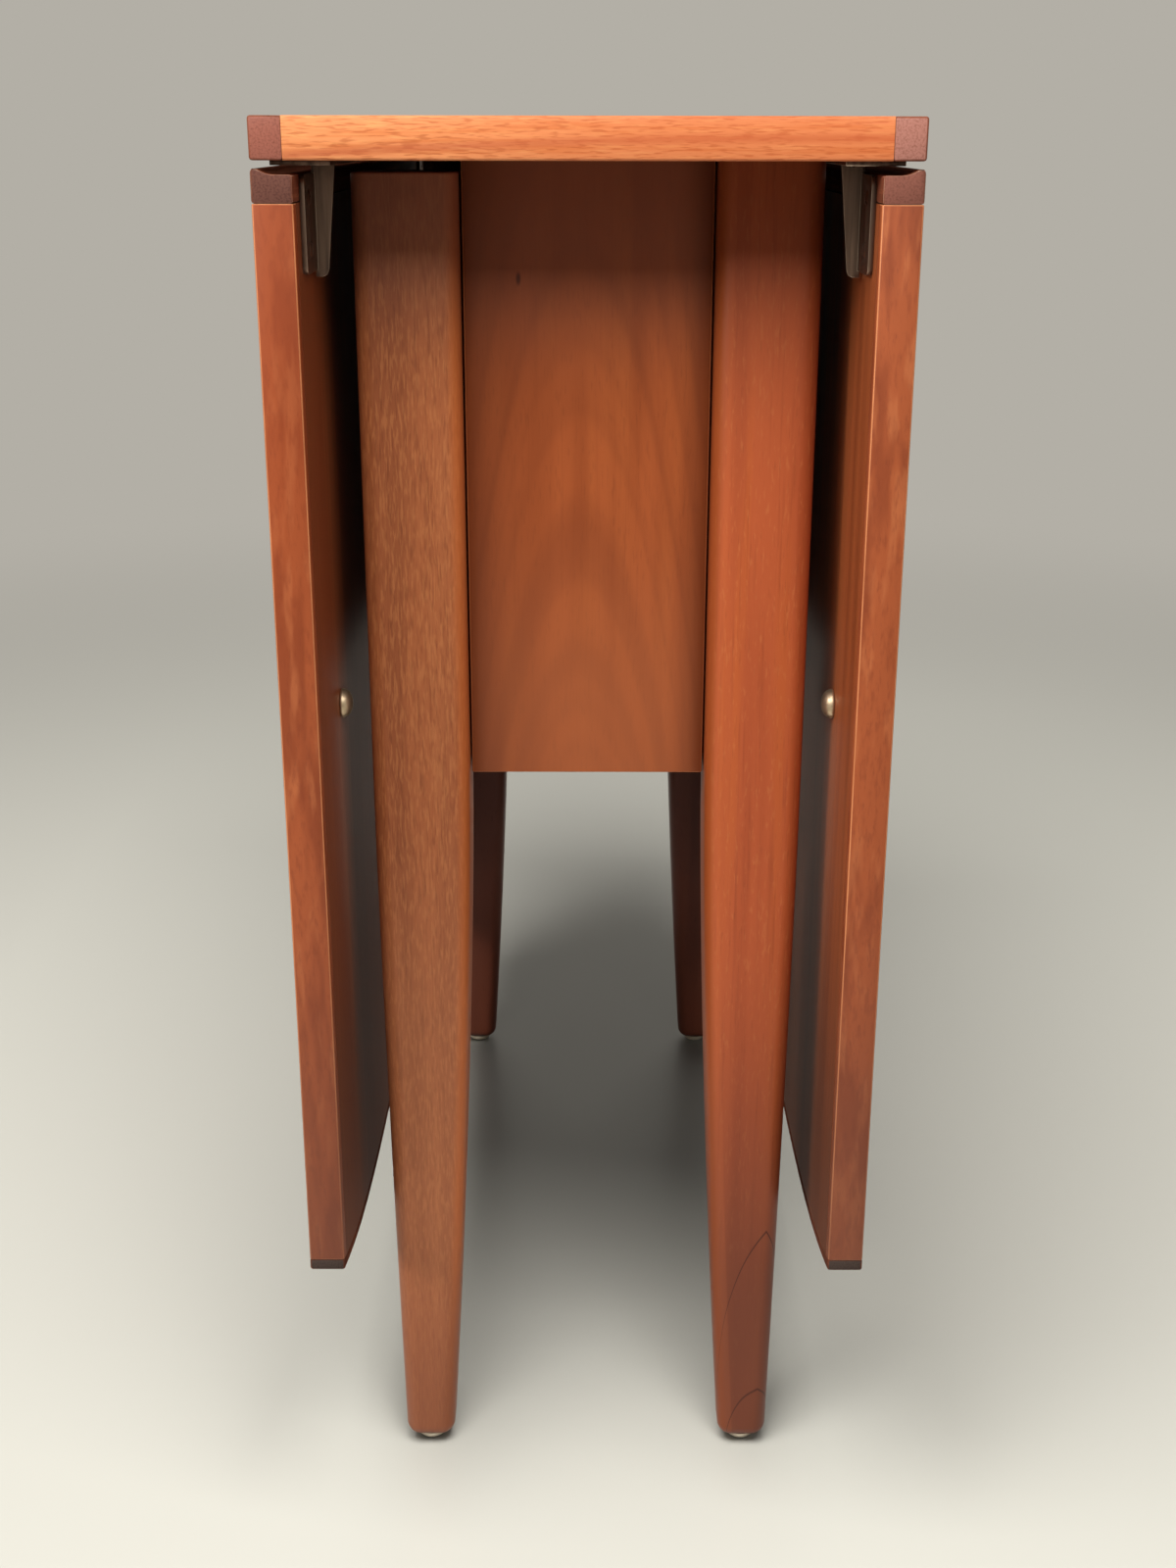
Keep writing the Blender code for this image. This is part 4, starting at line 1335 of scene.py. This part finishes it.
@dataclass
class Leg:
    """One tapered leg with its glide.

    The leg is straight beside the pedestal and drawn in below it, more on its two inner faces than on its
    outer ones. Its corners keep their radius down to the foot, which is rounded over. Beside the pedestal it
    takes up most of the clearance, so the joint shows as a thin line.
    """

    shop: Workshop
    node: str
    end: End
    side: Side
    finish: WoodFinish
    inner_taper_mm: float = 15.0
    outer_taper_mm: float = 5.0
    toward_panel_mm: float = 1.6
    taper_power: float = 1.5
    taper_steps: int = 14
    corner_mm: float = 8.5
    corner_steps: int = 8
    foot_ease_mm: float = 8.0
    head_ease_mm: float = 1.5
    ease_steps: int = 6
    glide_flat_share: float = 0.44
    dome_steps: int = 8
    round_steps: int = 48

    def build(self) -> None:
        """Shapes and dresses the leg and turns its glide."""
        self.shop.stand_in(self.node, self._shape(), self.shop.wood(self.finish, Grain.ALONG_Z))
        self._glide(f"foot_glide_{self.end.word}_{self.side.word}")

    def _shape(self) -> BMesh:
        """Bridges the leg's rings from the foot to the head.

        Returns:
            A closed bmesh.
        """
        low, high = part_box(self.node)
        foot, head = self.foot_ease_mm * MILLIMETRE, self.head_ease_mm * MILLIMETRE
        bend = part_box(f"end_panel_{self.end.word}")[0].z
        turns = [QUARTER_TURN * step / self.ease_steps for step in range(self.ease_steps)]
        levels = [(low.z + foot * (1 - cos(turn)), foot * (1 - sin(turn))) for turn in turns]
        rise = (bend - low.z - foot) / self.taper_steps
        levels += [(low.z + foot + rise * step, 0.0) for step in range(self.taper_steps + 1)]
        levels += [(high.z - head * (1 - cos(turn)), head * (1 - sin(turn))) for turn in reversed(turns)]
        shape = bmesh.new()
        rings = []
        for level, inset in levels:
            below = min(max((bend - level) / (bend - low.z - foot), 0.0), 1.0)
            rings.append(self._ring(shape, (low, high), level, below**self.taper_power, inset))
        for lower, upper in zip(rings, rings[1:]):
            bmesh.ops.bridge_loops(shape, edges=lower + upper)
        for ring in (rings[0], rings[-1]):
            bmesh.ops.edgeloop_fill(shape, edges=ring)
        bmesh.ops.recalc_face_normals(shape, faces=shape.faces)
        return shape

    def _ring(
        self, shape: BMesh, box: Box, level: float, taper: float, inset: float
    ) -> list[BMEdge]:
        """Adds one level of the leg: a rectangle with round corners.

        Args:
            shape: The bmesh that takes the ring.
            box: The lowest and highest corners of the leg's straight part.
            level: The ring's height.
            taper: The share of the full taper at this height.
            inset: How far the ring is drawn in all round.

        Returns:
            The ring's edges.
        """
        inner = taper * self.inner_taper_mm * MILLIMETRE + inset
        outer = taper * self.outer_taper_mm * MILLIMETRE + inset
        closer = (1 - taper) * self.toward_panel_mm * MILLIMETRE / 2
        half = (box[1].x - box[0].x - inner - outer) / 2
        shift = (inner - outer) / 2
        middle = (box[0] + box[1]) / 2
        middle += Vector((self.side.value * (shift - closer), self.end.value * shift, 0))
        middle.z = level
        others = set(shape.edges)
        place = Matrix.Translation(middle) @ Matrix.Diagonal((half + closer, half, 1, 1))
        outline = bmesh.ops.create_grid(shape, x_segments=1, y_segments=1, size=1, matrix=place)
        bmesh.ops.bevel(
            shape,
            geom=outline["verts"],
            offset=self.corner_mm * MILLIMETRE - inset,
            offset_type="OFFSET",
            affect="VERTICES",
            segments=self.corner_steps,
            profile=0.5,
            material=-1,
            clamp_overlap=True,
        )
        bmesh.ops.delete(shape, geom=shape.faces[:], context="FACES_ONLY")
        return [edge for edge in shape.edges if edge not in others]

    def _glide(self, node: str) -> None:
        """Turns a finer glide in a node's place: a flat on the floor under a round shoulder.

        Args:
            node: The glide's node.
        """
        low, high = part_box(node)
        seat = (low + high) / 2
        seat.z = high.z
        radius, height = (high.x - low.x) / 2, high.z - low.z
        flat = radius * self.glide_flat_share
        curve = dome((flat, 0.0), radius - flat, height, self.dome_steps)
        profile = [(0.0, 0.0), (radius, 0.0), *curve, (0.0, height)]
        shape = turned(profile, seat, DOWN, self.round_steps)
        self.shop.stand_in(node, shape, self.shop.metal(PALE_NICKEL))


@dataclass
class Gate:
    """The swinging frame behind a gate leg, with the bearers that hold its pins."""

    shop: Workshop
    name: str
    ease_mm: float = 0.5

    def build(self) -> None:
        """Dresses the stile, the rails and the bearers."""
        members = [("stile", Grain.ALONG_Z)]
        for level in ("upper", "lower"):
            members += [(f"{level}_rail", Grain.ALONG_Y), (f"{level}_bearer", Grain.ALONG_X)]
        for member, grain in members:
            self.shop.refine(f"gate_{member}_{self.name}", self.shop.wood(FRAME_BEECH, grain), self.ease_mm)


class Lit(Enum):
    """What a lamp lights, with the state of the floor in its list of lit things."""

    TABLE = "EXCLUDE"
    FLOOR = "INCLUDE"


@dataclass(frozen=True)
class Lamp:
    """One soft lamp, with what it is pointed at, what it lights, and whether it shows in reflections."""

    name: str
    place: Triple
    aim: Triple
    size: Pair
    watts: float
    lit: Lit = Lit.TABLE
    mirrored: bool = True

    def hang(self, floor: Object) -> None:
        """Hangs the lamp and points it.

        Args:
            floor: The floor, which some lamps leave out and the others light alone.
        """
        light = bpy.data.lights.new(self.name, "AREA")
        light.shape = "RECTANGLE"
        light.size, light.size_y = self.size
        light.energy = self.watts
        lamp = bpy.data.objects.new(self.name, light)
        lamp.location = self.place
        toward = Vector(self.aim) - Vector(self.place)
        lamp.rotation_euler = toward.to_track_quat("-Z", "Y").to_euler()
        lamp.visible_glossy = self.mirrored
        bpy.context.scene.collection.objects.link(lamp)
        listed = bpy.data.collections.new(f"{self.name}_list")
        listed.objects.link(floor)
        listed.collection_objects[0].light_linking.link_state = self.lit.value
        lamp.light_linking.receiver_collection = listed


@dataclass
class Studio:
    """The plain floor, the soft lamps and the camera at the photograph's viewing angle."""

    frame_px: tuple[int, int] = (1200, 1600)
    focal_px: float = 1900.0
    sensor_mm: float = 36.0
    camera_place: Triple = (0.0005, -1.17, 0.730)
    camera_pitch_deg: float = 19.40
    camera_roll_deg: float = 0.10
    floor_radius: float = 9.0
    floor_segments: int = 96
    floor_colour: str = "#8b8981"
    floor_bounce: str = "#68696b"
    floor_roughness: float = 0.32
    fade_from: float = 1.1
    fade_to: float = 2.6
    wall_colour: str = "#b3afa6"
    sky_colour: str = "#ffffff"
    sky_strength: float = 0.04
    lamps: tuple[Lamp, ...] = (
        Lamp("front_strip", (-0.10, -2.45, 2.85), (-0.10, 0.0, 0.45), (5.0, 1.60), 126.0),
        Lamp("left_lamp", (-2.60, -1.70, 2.20), (0.0, 0.0, 0.45), (1.6, 0.70), 60.0),
        Lamp("overhead_lamp", (-0.40, -1.00, 2.20), (0.0, 0.0, 0.45), (1.4, 0.8), 8.0),
        Lamp("back_lamp", (0.80, 3.10, 2.60), (0.0, 0.0, 0.45), (3.2, 1.6), 30.0),
        Lamp("floor_lamp", (-0.20, -1.05, 2.50), (0.0, -0.2, 0.0), (2.0, 1.3), 262.0, Lit.FLOOR),
        Lamp("low_lamp", (0.0, -2.60, 1.20), (0.0, 0.0, 0.0), (3.0, 0.6), 20.0, Lit.FLOOR),
        Lamp("pool_lamp", (0.1, 2.60, 2.20), (0.0, 0.2, 0.0), (2.6, 0.8), 26.0, Lit.FLOOR, False),
    )

    def build(self) -> None:
        """Sets up the floor, the light and the camera."""
        bpy.context.scene.view_settings.view_transform = "Standard"
        floor = self._floor()
        self._sky()
        for lamp in self.lamps:
            lamp.hang(floor)
        self._camera()

    def _floor(self) -> Object:
        """Lays a satin floor that fades into the backdrop.

        It throws back less light than its looks say, so the shade under the top stays deep.

        Returns:
            The floor.
        """
        shape = bmesh.new()
        bmesh.ops.create_circle(shape, cap_ends=True, segments=self.floor_segments, radius=self.floor_radius)
        mesh = bpy.data.meshes.new("floor")
        shape.to_mesh(mesh)
        shape.free()
        floor = bpy.data.objects.new("floor", mesh)
        bpy.context.scene.collection.objects.link(floor)
        material, tree, shader = new_material("satin_floor")
        tones = {MIX_UNDER: linear(self.floor_bounce), MIX_OVER: linear(self.floor_colour)}
        tone = add_node(tree, "Mix", {MIX_SHARE: self._seen(tree), **tones}, data_type="RGBA")
        tree.links.new(tone.outputs[MIX_RESULT], shader.inputs["Base Color"])
        shader.inputs["Roughness"].default_value = self.floor_roughness
        place = add_node(tree, "TexCoord").outputs["Object"]
        reach = add_node(tree, "VectorMath", {0: place}, operation="LENGTH").outputs["Value"]
        span = {"From Min": self.fade_from, "From Max": self.fade_to}
        fade = add_node(tree, "MapRange", {"Value": reach, **span}, interpolation_type="SMOOTHSTEP")
        glow = add_node(tree, "Emission", {"Color": linear(self.wall_colour)})
        shaders = {1: shader.outputs[0], 2: glow.outputs[0]}
        mixed = add_node(tree, "MixShader", {0: fade.outputs["Result"], **shaders})
        tree.links.new(mixed.outputs[0], tree.nodes["Material Output"].inputs["Surface"])
        mesh.materials.append(material)
        return floor

    def _seen(self, tree: NodeTree) -> NodeSocket:
        """One where the surface is looked at, mirrored or seen through glass, and zero where it only lights.

        Args:
            tree: The material's or the world's nodes.

        Returns:
            The share.
        """
        path = add_node(tree, "LightPath").outputs
        seen = path["Is Camera Ray"]
        for kind in ("Is Glossy Ray", "Is Transmission Ray"):
            seen = add_node(tree, "Math", {0: seen, 1: path[kind]}, operation="MAXIMUM").outputs[0]
        return seen

    def _sky(self) -> None:
        """Gives the world a soft level light, and the backdrop's colour where it is seen or mirrored."""
        world = bpy.data.worlds.new("studio")
        world.use_nodes = True
        bpy.context.scene.world = world
        tree = world.node_tree
        level = tree.nodes["Background"]
        level.inputs["Color"].default_value = linear(self.sky_colour)
        level.inputs["Strength"].default_value = self.sky_strength
        wall = add_node(tree, "Background", {"Color": linear(self.wall_colour), "Strength": 1.0})
        shaders = {1: level.outputs[0], 2: wall.outputs[0]}
        mixed = add_node(tree, "MixShader", {0: self._seen(tree), **shaders})
        tree.links.new(mixed.outputs[0], tree.nodes["World Output"].inputs["Surface"])

    def _camera(self) -> None:
        """Stands the camera where the photograph was taken from."""
        data = bpy.data.cameras.new("camera")
        data.sensor_width = self.sensor_mm
        data.lens = self.sensor_mm * self.focal_px / max(self.frame_px)
        camera = bpy.data.objects.new("camera", data)
        camera.location = self.camera_place
        pitch, roll = radians(90 - self.camera_pitch_deg), radians(self.camera_roll_deg)
        turn = Euler((pitch, 0, 0)).to_matrix() @ Matrix.Rotation(roll, 3, "Z")
        camera.rotation_euler = turn.to_euler()
        bpy.context.scene.collection.objects.link(camera)
        bpy.context.scene.camera = camera


def main() -> None:
    """Loads the frame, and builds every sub-assembly and the studio."""
    logging.basicConfig(level=logging.INFO, format="%(message)s")
    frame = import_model()
    shop = Workshop(frame)
    Top(shop).build()
    for side in Side:
        Leaf(shop, side).build()
        for end in End:
            LeafHinge(shop, end, side).build()
    Pedestal(shop).build()
    Leg(shop, "leg_gate_near_left", End.NEAR, Side.LEFT, GATE_LEG_WOOD).build()
    Leg(shop, "leg_fixed_near_right", End.NEAR, Side.RIGHT, RING_WOOD).build()
    Leg(shop, "leg_fixed_far_left", End.FAR, Side.LEFT, SHADED_FAR_LEG_WOOD).build()
    Leg(shop, "leg_gate_far_right", End.FAR, Side.RIGHT, SHADED_FAR_LEG_WOOD).build()
    for name in ("near_right", "far_left"):
        shop.refine(f"leg_packing_{name}", shop.wood(PACKING_BEECH, Grain.ALONG_Z))
    for name in ("near_left", "far_right"):
        Gate(shop, name).build()
    Studio().build()


if __name__ == "__main__":
    main()
